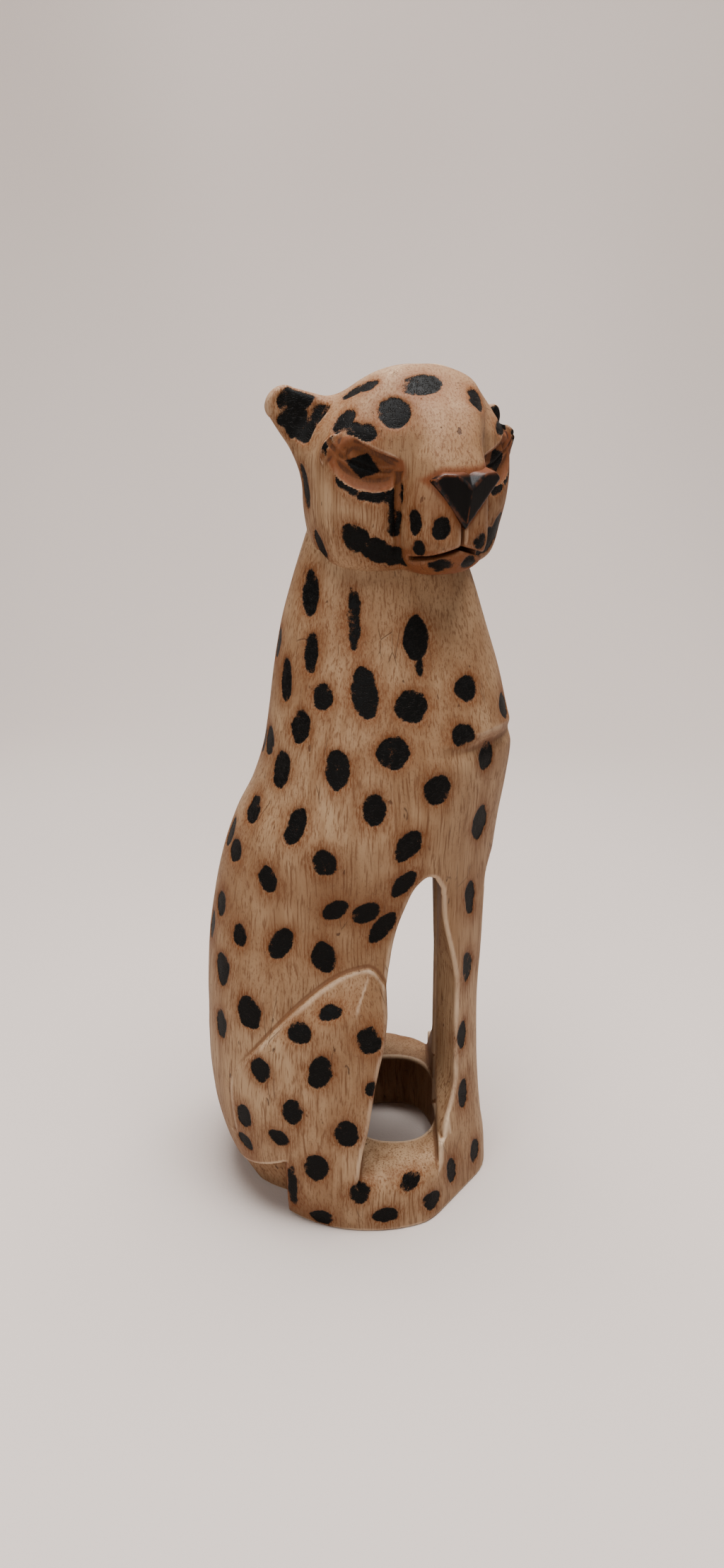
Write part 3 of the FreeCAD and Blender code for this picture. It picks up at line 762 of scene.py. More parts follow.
@dataclass
class SpotPlacer:
    """Finds where the spots lie on a sculpted surface."""

    seed: int = 11
    axis_y: float = -12.0
    start: float = 95.0
    shrink: float = 0.8
    low_spot: float = 30.0
    chest_bearing: float = 44.0
    middle_bearing: float = 70.0
    back_rows: tuple[float, ...] = (36, 52, 70, 88, 105, 122, 140, 157, 174, 192, 209, 226)
    back_bearings: tuple[float, ...] = (-82, -98)

    def around(self) -> list[Spot]:
        """Body spots all round: the right side, its mirror image a little shifted, and the back."""
        chance = np.random.default_rng(self.seed)
        spots = list(BODY_SPOTS)
        for spot in BODY_SPOTS:
            if spot.bearing > self.middle_bearing:
                continue
            shift, turn = chance.uniform(-2.5, 2.5), chance.uniform(-2, 2)
            narrow = spot.height < self.low_spot or spot.bearing > self.chest_bearing
            bearing = 180 - spot.bearing + (0 if narrow else turn)
            height = spot.height + (0 if narrow else shift)
            spots.append(Spot(height, bearing, spot.long * chance.uniform(0.9, 1.1), spot.wide, -spot.tilt))
        for row, height in enumerate(self.back_rows):
            bearing = self.back_bearings[row % 2] + chance.uniform(-3, 3)
            long, wide, tilt = chance.uniform(9, 13), chance.uniform(6.5, 8), chance.uniform(-25, 25)
            spots.append(Spot(height, bearing, long, wide, tilt))
        return spots

    def landed(self, spots: Iterable[Spot], solid: Field,
               origin: Callable[[Spot], tuple[Array, Array]]) -> list[Landed]:
        """Each spot's place, outward direction and own data.

        Args:
            spots: The spots.
            solid: The sculpted field.
            origin: Gives a spot's starting place outside the surface and its way inwards, in mm.

        Returns:
            A list of (place, outward, spot).
        """
        spots = list(spots)
        starts, ways = (np.array(v) for v in zip(*(origin(spot) for spot in spots)))
        gone = np.zeros(len(spots))
        for _ in range(160):
            gone += np.clip(solid(*(starts + ways * gone[:, None]).T) * 0.6, -2.0, 6.0)
        places = starts + ways * gone[:, None]
        outward, _ = slope_of(solid, places, 0.8)
        return [(p, n, s) for p, n, s, g in zip(places, outward, spots, gone) if g < self.start]

    def body_line(self, spot: Spot) -> tuple[Array, Array]:
        """The line that finds a body spot."""
        bearing = math.radians(spot.bearing)
        way = np.array([math.cos(bearing), math.sin(bearing), 0.0])
        return np.array([0.0, self.axis_y, spot.height]) - way * self.start, way

    def points_mesh(self, name: str, landed: list[Landed]) -> bpy.types.Object:
        """Loose points that carry each spot's half size and turn.

        Args:
            name: Name of the object.
            landed: Spots from landed().

        Returns:
            The object, linked to the scene so that Geometry Nodes can read it.
        """
        mesh = bpy.data.meshes.new(name)
        mesh.vertices.add(len(landed))
        sizes, turns, places = [], [], []
        for place, outward, spot in landed:
            normal = Vector(outward)
            up = (Vector((0, 0, 1)) - normal * normal.z).normalized()
            aside = up.cross(normal)
            tilt = math.radians(spot.tilt)
            along = up * math.cos(tilt) + aside * math.sin(tilt)
            across = along.cross(normal)
            turn = Matrix((across, along, normal)).transposed().to_euler()
            halves = [max(v - self.shrink, 1.0) / 2 * MM for v in (spot.wide, spot.long)]
            sizes += [*halves, MM]
            turns += list(turn)
            places += list(place * MM)
        mesh.vertices.foreach_set("co", places)
        for attribute, values in (("half_size", sizes), ("turn", turns)):
            mesh.attributes.new(attribute, "FLOAT_VECTOR", "POINT").data.foreach_set("vector", values)
        points = bpy.data.objects.new(name, mesh)
        bpy.context.scene.collection.objects.link(points)
        return points


@dataclass
class BurntSpots:
    """Geometry Nodes tree that brands spots into a skin: distance to the nearest spot, and a slight sink."""

    wobble: float = 0.0013
    wobble_scale: float = 210.0
    sink: float = 0.00035
    rim: Point2 = (0.3, 1.5)
    furthest: float = 12.0
    disc_corners: int = 40
    seed: int = 3

    def __post_init__(self) -> None:
        """Build the tree once."""
        self.tree = bpy.data.node_groups.new("Burnt spots", "GeometryNodeTree")
        face = self.tree.interface
        for name, kind in (("Geometry", "Geometry"), ("Spots", "Object"), ("Wobble", "Float"),
                           ("Sink", "Float"), ("Seed", "Int"), ("Material", "Material")):
            face.new_socket(name, in_out="INPUT", socket_type=f"NodeSocket{kind}")
        face.new_socket("Geometry", in_out="OUTPUT", socket_type="NodeSocketGeometry")
        n, link = self.tree.nodes, self.tree.links.new
        given, out = n.new("NodeGroupInput"), n.new("NodeGroupOutput")
        source = n.new("GeometryNodeObjectInfo")
        link(given.outputs["Spots"], source.inputs["Object"])
        disc = n.new("GeometryNodeMeshCircle")
        disc.fill_type = "TRIANGLE_FAN"
        disc.inputs["Vertices"].default_value = self.disc_corners
        disc.inputs["Radius"].default_value = 1.0
        discs = n.new("GeometryNodeInstanceOnPoints")
        size, turn = self.reader("half_size"), self.reader("turn")
        to_turn = n.new("FunctionNodeEulerToRotation")
        link(turn, to_turn.inputs[0])
        link(source.outputs["Geometry"], discs.inputs["Points"])
        link(disc.outputs["Mesh"], discs.inputs["Instance"])
        link(to_turn.outputs[0], discs.inputs["Rotation"])
        link(size, discs.inputs["Scale"])
        real = n.new("GeometryNodeRealizeInstances")
        link(discs.outputs["Instances"], real.inputs["Geometry"])
        ragged = n.new("GeometryNodeSetPosition")
        link(real.outputs["Geometry"], ragged.inputs["Geometry"])
        noise = n.new("ShaderNodeTexNoise")
        noise.noise_dimensions = "4D"
        noise.inputs["Scale"].default_value = self.wobble_scale
        noise.inputs["Detail"].default_value = 1.0
        link(given.outputs["Seed"], noise.inputs["W"])
        swing = self.maths("VECTOR", "SUBTRACT", noise.outputs["Color"], (0.5, 0.5, 0.5))
        swing = self.maths("VECTOR", "SCALE", swing, given.outputs["Wobble"], scale=2.0)
        link(swing, ragged.inputs["Offset"])
        near = n.new("GeometryNodeProximity")
        near.target_element = "FACES"
        link(ragged.outputs["Geometry"], near.inputs[0])
        distance = self.maths("SCALAR", "MULTIPLY", near.outputs["Distance"], 1 / MM)
        store = n.new("GeometryNodeStoreNamedAttribute")
        store.data_type, store.domain = "FLOAT", "POINT"
        store.inputs["Name"].default_value = "burn"
        link(given.outputs["Geometry"], store.inputs["Geometry"])
        link(self.maths("SCALAR", "MINIMUM", distance, self.furthest), store.inputs["Value"])
        pressed = n.new("ShaderNodeMapRange")
        pressed.interpolation_type = "SMOOTHSTEP"
        for socket, value in zip(("From Min", "From Max", "To Min", "To Max"), (*self.rim, -1.0, 0.0)):
            pressed.inputs[socket].default_value = value
        link(distance, pressed.inputs["Value"])
        depth = self.maths("SCALAR", "MULTIPLY", pressed.outputs["Result"], given.outputs["Sink"])
        normal = n.new("GeometryNodeInputNormal")
        sunk = n.new("GeometryNodeSetPosition")
        link(store.outputs["Geometry"], sunk.inputs["Geometry"])
        link(self.maths("VECTOR", "SCALE", normal.outputs[0], depth), sunk.inputs["Offset"])
        last = n.new("GeometryNodeRealizeInstances")
        link(sunk.outputs["Geometry"], last.inputs["Geometry"])
        paint = n.new("GeometryNodeSetMaterial")
        link(last.outputs["Geometry"], paint.inputs["Geometry"])
        link(given.outputs["Material"], paint.inputs["Material"])
        link(paint.outputs["Geometry"], out.inputs["Geometry"])

    def reader(self, name: str) -> bpy.types.NodeSocket:
        """A vector attribute of the points."""
        node = self.tree.nodes.new("GeometryNodeInputNamedAttribute")
        node.data_type = "FLOAT_VECTOR"
        node.inputs["Name"].default_value = name
        return node.outputs["Attribute"]

    def maths(self, kind: str, operation: str, first: Input, second: Input,
              scale: float = 1.0) -> bpy.types.NodeSocket:
        """One maths node.

        Args:
            kind: SCALAR or VECTOR.
            operation: The node's operation.
            first: A socket.
            second: A socket or a constant.
            scale: Extra factor on a vector scaled by a socket.

        Returns:
            The node's output socket.
        """
        node = self.tree.nodes.new("ShaderNodeMath" if kind == "SCALAR" else "ShaderNodeVectorMath")
        node.operation = operation
        if operation == "SCALE":
            self.tree.links.new(first, node.inputs[0])
            self.tree.links.new(self.maths("SCALAR", "MULTIPLY", second, scale), node.inputs["Scale"])
            return node.outputs[0]
        for socket, value in zip(node.inputs, (first, second)):
            if isinstance(value, bpy.types.NodeSocket):
                self.tree.links.new(value, socket)
            else:
                socket.default_value = value
        return node.outputs[0]

    def brand(self, skin: bpy.types.Object, points: bpy.types.Object, material: bpy.types.Material) -> None:
        """Brand a skin and keep the result as plain mesh.

        Args:
            skin: The skin, changed in place.
            points: The spots' points, removed afterwards.
            material: The wood.
        """
        modifier = skin.modifiers.new("Burnt spots", "NODES")
        modifier.node_group = self.tree
        given = {"Spots": points, "Wobble": self.wobble, "Sink": self.sink, "Seed": self.seed,
                 "Material": material}
        for item in self.tree.interface.items_tree:
            if item.in_out == "INPUT" and item.name in given:
                modifier[item.identifier] = given[item.name]
        baked(skin)
        bpy.data.objects.remove(points)


# ---------------------------------------------------------------------------------------------------------
# Meshes


def baked(thing: bpy.types.Object) -> None:
    """Replace an object's mesh by what its modifiers make of it, and drop the modifiers."""
    graph = bpy.context.evaluated_depsgraph_get()
    mesh = bpy.data.meshes.new_from_object(thing.evaluated_get(graph), depsgraph=graph)
    thing.modifiers.clear()
    old, thing.data = thing.data, mesh
    bpy.data.meshes.remove(old)


def read(mesh: bpy.types.Mesh, name: str, width: int = 1) -> Array:
    """Values of a point attribute, one a row."""
    values = np.zeros(len(mesh.vertices) * width, np.float32)
    mesh.attributes[name].data.foreach_get("vector" if width == 3 else "value", values)
    return values.reshape(-1, width) if width > 1 else values


def places_of(mesh: bpy.types.Mesh) -> Array:
    """Places of a mesh's vertices, one a row."""
    places = np.zeros(len(mesh.vertices) * 3, np.float32)
    mesh.vertices.foreach_get("co", places)
    return places.reshape(-1, 3)


def bent(solid: Field, points: Array, reach: float) -> Array:
    """How sharply a surface bends: above 0 on ridges and below 0 in creases.

    Args:
        solid: The sculpted field.
        points: Places in mm, one a row.
        reach: Distance over which the bend is taken, mm.

    Returns:
        One value for each place, 1 for a sharp edge.
    """
    total = -6.0 * solid(*points.T)
    for axis in range(3):
        nudge = np.zeros(3)
        nudge[axis] = reach
        total += solid(*(points + nudge).T) + solid(*(points - nudge).T)
    return np.clip(total / reach, -1.0, 1.0)


def skin_object(name: str, points: Array, faces: Array, **values: Array) -> bpy.types.Object:
    """An object of a meshed skin.

    Args:
        name: Name of the object.
        points: Places in mm, one a row.
        faces: Quads of point numbers, one a row.
        values: Point attributes.

    Returns:
        The object, linked to the scene.
    """
    mesh = bpy.data.meshes.new(name)
    mesh.vertices.add(len(points))
    mesh.vertices.foreach_set("co", (points * MM).astype(np.float32).ravel())
    mesh.loops.add(faces.size)
    mesh.loops.foreach_set("vertex_index", faces.astype(np.int32).ravel())
    mesh.polygons.add(len(faces))
    mesh.polygons.foreach_set("loop_start", np.arange(0, faces.size, 4, dtype=np.int32))
    mesh.update(calc_edges=True)
    for attribute, array in values.items():
        mesh.attributes.new(attribute, "FLOAT", "POINT").data.foreach_set("value", array.astype(np.float32))
    thing = bpy.data.objects.new(name, mesh)
    bpy.context.scene.collection.objects.link(thing)
    return thing


class Cutter:
    """Cuts a branded skin into pieces that meet face to face and shade as one surface."""

    SMOOTH = ("burn", "bend", "scorch")

    def __init__(self, skin: bpy.types.Object) -> None:
        """Note the skin's normals before any cut.

        Args:
            skin: The branded skin; what is left of it after the cuts stays in this object.
        """
        self.skin = skin
        mesh = skin.data
        normals = np.zeros(len(mesh.vertices) * 3, np.float32)
        mesh.vertex_normals.foreach_get("vector", normals)
        mesh.attributes.new("skin_normal", "FLOAT_VECTOR", "POINT").data.foreach_set("vector", normals)
        own = mesh.attributes.new("own_skin", "INT", "FACE")
        own.data.foreach_set("value", np.ones(len(mesh.polygons), np.int32))
        self.whole = mesh.copy()
        self.corners = [tuple(p.vertices) for p in self.whole.polygons]
        self.tree = BVHTree.FromPolygons([v.co for v in self.whole.vertices], self.corners)
        self.values = {name: read(self.whole, name) for name in self.SMOOTH}
        self.normals = normals.reshape(-1, 3)
        self.at = places_of(self.whole)

    def prism(self, outline: list[Point2], low: float, high: float) -> bpy.types.Object:
        """A tool: an outline in the side view, in mm, drawn out across the figure from low to high."""
        tool = bmesh.new()
        ends = [[tool.verts.new((x * MM, y * MM, z * MM)) for y, z in outline] for x in (low, high)]
        tool.faces.new(ends[0])
        tool.faces.new(ends[1][::-1])
        for i in range(len(outline)):
            j = (i + 1) % len(outline)
            tool.faces.new((ends[0][j], ends[0][i], ends[1][i], ends[1][j]))
        return self.tool_object(tool)

    def block(self, low: Point3, high: Point3,
              turn: Matrix | None = None) -> bpy.types.Object:
        """A tool: a block between two corners in mm, turned by a matrix when one is given."""
        tool = bmesh.new()
        bmesh.ops.create_cube(tool, size=1.0)
        for vertex in tool.verts:
            share = [0.0 if c < 0 else 1.0 for c in vertex.co]
            vertex.co = [(a + (b - a) * s) * MM for a, b, s in zip(low, high, share)]
            if turn is not None:
                vertex.co = turn @ vertex.co
        return self.tool_object(tool)

    @staticmethod
    def tool_object(tool: bmesh.types.BMesh) -> bpy.types.Object:
        """An object from a tool's faces."""
        bmesh.ops.recalc_face_normals(tool, faces=tool.faces)
        if tool.calc_volume(signed=True) < 0:
            bmesh.ops.reverse_faces(tool, faces=tool.faces)
        mesh = bpy.data.meshes.new("tool")
        tool.to_mesh(mesh)
        tool.free()
        thing = bpy.data.objects.new("tool", mesh)
        bpy.context.scene.collection.objects.link(thing)
        return thing

    def take(self, name: str, tool: bpy.types.Object) -> bpy.types.Object:
        """Cut a piece out of what is left of the skin.

        Args:
            name: Name of the new piece.
            tool: Solid that holds the piece, removed afterwards.

        Returns:
            The piece, finished.
        """
        piece = bpy.data.objects.new(name, self.skin.data.copy())
        bpy.context.scene.collection.objects.link(piece)
        for thing, operation in ((piece, "INTERSECT"), (self.skin, "DIFFERENCE")):
            cut = thing.modifiers.new("cut", "BOOLEAN")
            cut.solver, cut.operation, cut.object = "MANIFOLD", operation, tool
            baked(thing)
        bpy.data.objects.remove(tool)
        return self.finished(piece)

    def rest(self, name: str) -> bpy.types.Object:
        """What is left of the skin, as a piece."""
        self.skin.name = name
        return self.finished(self.skin)

    def finished(self, piece: bpy.types.Object) -> bpy.types.Object:
        """Give a piece the normals, the burns and the painted shade of the whole skin, and flat faces where
        it was cut.
        """
        mesh = piece.data
        normals, places = read(mesh, "skin_normal", 3), places_of(mesh)
        bare = np.nonzero(np.linalg.norm(normals, axis=1) < 0.2)[0]
        burns_and_shade = {name: read(mesh, name) for name in self.SMOOTH}
        for i in bare:
            _, _, face, _ = self.tree.find_nearest(Vector(places[i]))
            ring = list(self.corners[face])
            weight = 1.0 / (np.linalg.norm(self.at[ring] - places[i], axis=1) + 1e-7)
            weight /= weight.sum()
            normals[i] = weight @ self.normals[ring]
            for name in self.SMOOTH:
                burns_and_shade[name][i] = weight @ self.values[name][ring]
        for name in self.SMOOTH:
            mesh.attributes[name].data.foreach_set("value", burns_and_shade[name])
        own = np.zeros(len(mesh.polygons), np.int32)
        mesh.attributes["own_skin"].data.foreach_get("value", own)
        flat = np.zeros(len(mesh.polygons) * 3, np.float32)
        mesh.polygons.foreach_get("normal", flat)
        sizes = np.zeros(len(mesh.polygons), np.int32)
        mesh.polygons.foreach_get("loop_total", sizes)
        corners = np.zeros(len(mesh.loops), np.int32)
        mesh.loops.foreach_get("vertex_index", corners)
        normals /= np.linalg.norm(normals, axis=1)[:, None] + 1e-9
        cut = np.repeat(own == 0, sizes)
        at_corner = np.where(cut[:, None], np.repeat(flat.reshape(-1, 3), sizes, axis=0), normals[corners])
        mesh.polygons.foreach_set("use_smooth", np.ones(len(mesh.polygons), bool))
        mesh.normals_split_custom_set(at_corner.tolist())
        mesh.attributes.remove(mesh.attributes["skin_normal"])
        mesh.attributes.remove(mesh.attributes["own_skin"])
        return piece


def hand_over(piece: bpy.types.Object, slot: Slot, *nodes: str) -> None:
    """Tie a finished piece to the frame and report it.

    Args:
        piece: The finished piece.
        slot: Material slot of the record; not used.
        nodes: Nodes of the frame that it stands for.
    """
    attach(piece, BODY)
    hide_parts(*nodes)
    LOG.info("%s: %d faces", piece.name, len(piece.data.polygons))


# ---------------------------------------------------------------------------------------------------------
# Finishes


class Shading:
    """A node tree with short calls for the nodes the finishes use."""

    def __init__(self, tree: bpy.types.NodeTree) -> None:
        """Keep the tree."""
        self.tree = tree

    def node(self, kind: str, settings: dict[str, object] | None = None, **given: Input) -> bpy.types.Node:
        """Add a node.

        Args:
            kind: The node's type.
            settings: Properties of the node.
            given: Inputs by name, with _ for a space, or by place as i0, i1 and so on; sockets are linked and
                constants are set.

        Returns:
            The node.
        """
        node = self.tree.nodes.new(kind)
        for name, value in (settings or {}).items():
            setattr(node, name, value)
        for name, value in given.items():
            by_place = name[0] == "i" and name[1:].isdigit()
            socket = node.inputs[int(name[1:]) if by_place else name.replace("_", " ")]
            if isinstance(value, bpy.types.NodeSocket):
                self.tree.links.new(value, socket)
            else:
                socket.default_value = value
        return node

    def maths(self, operation: str, first: Input, second: Input = 0.0,
              clamp: bool = False) -> bpy.types.NodeSocket:
        """Output of a maths node."""
        settings = {"operation": operation, "use_clamp": clamp}
        return self.node("ShaderNodeMath", settings, i0=first, i1=second).outputs[0]

    def times(self, first: Input, second: Input) -> bpy.types.NodeSocket:
        """The product of two values."""
        return self.maths("MULTIPLY", first, second)

    def step(self, value: Input, low: float, high: float, at_low: float = 0.0,
             at_high: float = 1.0) -> bpy.types.NodeSocket:
        """A smooth step of a value, from at_low to at_high."""
        node = self.node("ShaderNodeMapRange", {"interpolation_type": "SMOOTHSTEP"}, Value=value,
                         From_Min=low, From_Max=high, To_Min=at_low, To_Max=at_high)
        return node.outputs[0]

    def noise(self, place: Input, scale: float, detail: float = 3.0,
              rough: float = 0.55) -> bpy.types.NodeSocket:
        """Height of a noise."""
        node = self.node("ShaderNodeTexNoise", Vector=place, Scale=scale, Detail=detail, Roughness=rough)
        return node.outputs[0]

    def stretched(self, place: Input, x: float, y: float, z: float) -> bpy.types.NodeSocket:
        """Places stretched along the axes."""
        node = self.node("ShaderNodeMapping", {"vector_type": "POINT"}, Vector=place, Scale=(x, y, z))
        return node.outputs[0]

    def mix(self, share: Input, first: Input, second: Input) -> bpy.types.NodeSocket:
        """Two colours mixed."""
        node = self.node("ShaderNodeMix", {"data_type": "RGBA"}, i0=share, i6=first, i7=second)
        return node.outputs[2]

    def cells(self, place: Input, scale: float) -> bpy.types.NodeSocket:
        """Distance to the edge of the nearest cell."""
        node = self.node("ShaderNodeTexVoronoi", {"feature": "DISTANCE_TO_EDGE"}, Vector=place, Scale=scale)
        return node.outputs["Distance"]

    def attribute(self, name: str) -> bpy.types.NodeSocket:
        """A value carried by the mesh."""
        return self.node("ShaderNodeAttribute", {"attribute_name": name}).outputs["Fac"]


def linear(level: float) -> float:
    """Brightness of a display value of 0 to 255."""
    return ((level / 255 + 0.055) / 1.055) ** 2.4 if level > 10 else level / 255 / 12.92


def srgb(red: float, green: float, blue: float) -> Colour:
    """A colour from display values of 0 to 255."""
    return linear(red), linear(green), linear(blue), 1.0


def group(name: str, inputs: tuple[tuple[str, str], ...], outputs: tuple[tuple[str, str], ...]) -> tuple:
    """A shader node group with named sockets.

    Args:
        name: Name of the group.
        inputs: Pairs of name and socket type.
        outputs: Pairs of name and socket type.

    Returns:
        The tree, its shading helper, its input node and its output node.
    """
    tree = bpy.data.node_groups.new(name, "ShaderNodeTree")
    for way, sockets in (("INPUT", inputs), ("OUTPUT", outputs)):
        for label, kind in sockets:
            tree.interface.new_socket(label, in_out=way, socket_type=kind)
    return tree, Shading(tree), tree.nodes.new("NodeGroupInput"), tree.nodes.new("NodeGroupOutput")


@dataclass(frozen=True)
class GrainGroup:
    """Upright grain, tool scratches, nicks and cracks of the carved wood, as masks shared by the finishes."""

    fibre: float = 1500.0
    streak: float = 260.0

    def build(self) -> bpy.types.NodeTree:
        """Make the group."""
        tree, s, given, out = group(
            "Wood grain", (("Place", "NodeSocketVector"),),
            (("Fibre", "NodeSocketFloat"), ("Streak", "NodeSocketFloat"), ("Cloud", "NodeSocketFloat"),
             ("Scratch", "NodeSocketFloat"), ("Nick", "NodeSocketFloat"), ("Relief", "NodeSocketFloat")))
        place = given.outputs["Place"]
        warp = s.node("ShaderNodeTexNoise", Vector=place, Scale=22.0, Detail=2.0).outputs["Color"]
        bent_place = s.node("ShaderNodeVectorMath", {"operation": "MULTIPLY_ADD"}, i0=warp,
                            i1=(0.006, 0.006, 0.0), i2=place).outputs[0]
        fibre = s.noise(s.stretched(bent_place, self.fibre, self.fibre, 75.0), 1.0, 3.0, 0.6)
        streak = s.noise(s.stretched(bent_place, self.streak, self.streak, 9.0), 1.0, 2.0)
        cloud = s.noise(place, 17.0, 3.0)
        turned = s.node("ShaderNodeMapping", {"vector_type": "POINT"}, Vector=place, Rotation=(0.9, 0.5, 0.4),
                        Scale=(260.0, 1500.0, 900.0)).outputs[0]
        scratch = s.step(s.noise(turned, 1.0, 4.0, 0.65), 0.52, 0.74)
        spread = s.step(s.noise(place, 34.0, 2.0), 0.38, 0.56)
        nick_place = s.stretched(bent_place, 420.0, 420.0, 170.0)
        nick = s.step(s.noise(nick_place, 1.0, 2.0, 0.5), 0.70, 0.76)
        crack_place = s.stretched(bent_place, 160.0, 160.0, 30.0)
        crack = s.step(s.cells(crack_place, 1.0), 0.0, 0.02, 1.0, 0.0)
        crack = s.times(crack, s.step(s.noise(place, 55.0, 1.0), 0.62, 0.70))
        nick = s.maths("MAXIMUM", nick, s.times(crack, 0.75))
        scratch = s.times(scratch, spread)
        relief = s.maths("ADD", s.times(fibre, 0.6), s.times(streak, 0.5))
        relief = s.maths("SUBTRACT", relief, s.times(nick, 0.9))
        relief = s.maths("ADD", relief, s.times(scratch, 0.35))
        for name, value in (("Fibre", fibre), ("Streak", streak), ("Cloud", cloud), ("Scratch", scratch),
                            ("Nick", nick), ("Relief", relief)):
            tree.links.new(value, out.inputs[name])
        return tree


@dataclass(frozen=True)
class BurnGroup:
    """Charred middle, brown halo with hair strokes and crackle of the branded spots, as masks."""

    halo_reach: float = 9.5

    def build(self) -> bpy.types.NodeTree:
        """Make the group."""
        tree, s, given, out = group(
            "Branding", (("Place", "NodeSocketVector"), ("Distance", "NodeSocketFloat")),
            (("Char", "NodeSocketFloat"), ("Halo", "NodeSocketFloat"), ("Crackle", "NodeSocketFloat")))
        place, distance = given.outputs["Place"], given.outputs["Distance"]
        coarse = s.times(s.maths("SUBTRACT", s.noise(place, 620.0, 3.0, 0.6), 0.5), 1.2)
        fine = s.times(s.maths("SUBTRACT", s.noise(place, 2600.0, 2.0, 0.6), 0.5), 0.8)
        ragged = s.maths("ADD", distance, s.maths("ADD", coarse, fine))
        char = s.step(ragged, 0.45, 0.95, 1.0, 0.0)
        upright = s.stretched(place, 1900.0, 1900.0, 420.0)
        hair = s.step(s.noise(upright, 1.0, 3.0, 0.7), 0.42, 0.66)
        size = s.step(s.noise(place, 90.0, 1.0), 0.3, 0.7, 0.7, 1.35)
        far = s.maths("DIVIDE", distance, s.times(size, self.halo_reach))
        falloff = s.maths("POWER", s.maths("SUBTRACT", 1.0, far, True), 2.3)
        halo = s.maths("MULTIPLY", falloff, s.maths("ADD", 0.72, s.times(hair, 0.8)), True)
        crackle = s.step(s.cells(place, 1500.0), 0.0, 0.14, 1.0, 0.0)
        crackle = s.times(crackle, s.step(s.noise(place, 700.0, 2.0), 0.40, 0.62))
        for name, value in (("Char", char), ("Halo", halo), ("Crackle", crackle)):
            tree.links.new(value, out.inputs[name])
        return tree


@dataclass(frozen=True)
class WoodFinish:
    """Pale carved wood with burnt-in spots and worn ridges, hollows browned partly as scorching and partly as
    painted shade, and creases darkened as painted shade.
    """

    pale: Colour = srgb(160, 130, 98)
    warm: Colour = srgb(120, 86, 56)
    groove: Colour = srgb(96, 60, 34)
    halo: Colour = srgb(100, 56, 22)
    scorch: Colour = srgb(104, 50, 16)
    deep_scorch: Colour = srgb(48, 24, 12)
    char: Colour = srgb(7, 6, 5)
    ash: Colour = srgb(30, 24, 20)
    worn: Colour = srgb(216, 190, 160)

    def build(self, grain: bpy.types.NodeTree, burn: bpy.types.NodeTree) -> bpy.types.Material:
        """Make the material.

        Args:
            grain: The grain group.
            burn: The branding group.

        Returns:
            The material.
        """
        material = bpy.data.materials.new("Carved wood")
        material.use_nodes = True
        tree = material.node_tree
        tree.nodes.clear()
        s = Shading(tree)
        place = s.node("ShaderNodeTexCoord").outputs["Object"]
        wood = s.node("ShaderNodeGroup", {"node_tree": grain}, Place=place).outputs
        near, bend, scorch = (s.attribute(name) for name in Cutter.SMOOTH)
        mark = s.node("ShaderNodeGroup", {"node_tree": burn}, Place=place, Distance=near).outputs
        colour = s.mix(s.step(wood["Cloud"], 0.3, 0.75), self.pale, self.warm)
        colour = s.mix(s.times(s.step(wood["Streak"], 0.42, 0.70), 0.55), colour, self.warm)
        colour = s.mix(s.times(s.step(wood["Fibre"], 0.50, 0.64), 0.75), colour, self.groove)
        colour = s.mix(s.times(wood["Scratch"], 0.6), colour, self.groove)
        colour = s.mix(s.step(bend, 0.12, 0.7, 0.0, 0.45), colour, self.worn)
        # Painted shade: the wood is darkened in creases, where shade falls.
        colour = s.mix(s.step(bend, -0.5, -0.06, 0.85, 0.0), colour, self.groove)
        colour = s.mix(s.times(wood["Nick"], 0.75), colour, self.deep_scorch)
        # Browning from the scorch mask, which is scorching in places and painted shade in the hollows.
        patchy_scorch_and_shade = s.times(scorch, s.step(s.noise(place, 240.0, 3.0, 0.6), 0.2, 0.62, 0.75, 1.0))
        colour = s.mix(patchy_scorch_and_shade, colour, self.scorch)
        # Painted shade: creases in the browned places darkened further.
        scorched_crease_shade = s.times(scorch, s.step(bend, -0.35, -0.03, 0.9, 0.0))
        colour = s.mix(scorched_crease_shade, colour, self.deep_scorch)
        colour = s.mix(mark["Halo"], colour, self.halo)
        burnt = s.mix(s.times(mark["Crackle"], 0.5), self.char, self.ash)
        colour = s.mix(mark["Char"], colour, burnt)
        rough = s.maths("SUBTRACT", s.maths("ADD", 0.62, s.times(wood["Fibre"], 0.14)),
                        s.times(mark["Char"], 0.16))
        height = s.maths("ADD", s.times(wood["Relief"], s.maths("SUBTRACT", 1.0, mark["Char"])),
                         s.times(mark["Char"], s.times(mark["Crackle"], -0.8)))
        bump = s.node("ShaderNodeBump", Height=height, Strength=0.8, Distance=0.0003).outputs[0]
        shader = s.node("ShaderNodeBsdfPrincipled", Base_Color=colour, Roughness=rough, Normal=bump, IOR=1.45)
        shine = s.maths("SUBTRACT", 0.30, s.times(mark["Char"], 0.20))
        tree.links.new(shine, shader.inputs["Specular IOR Level"])
        s.node("ShaderNodeOutputMaterial", Surface=shader.outputs[0])
        return material


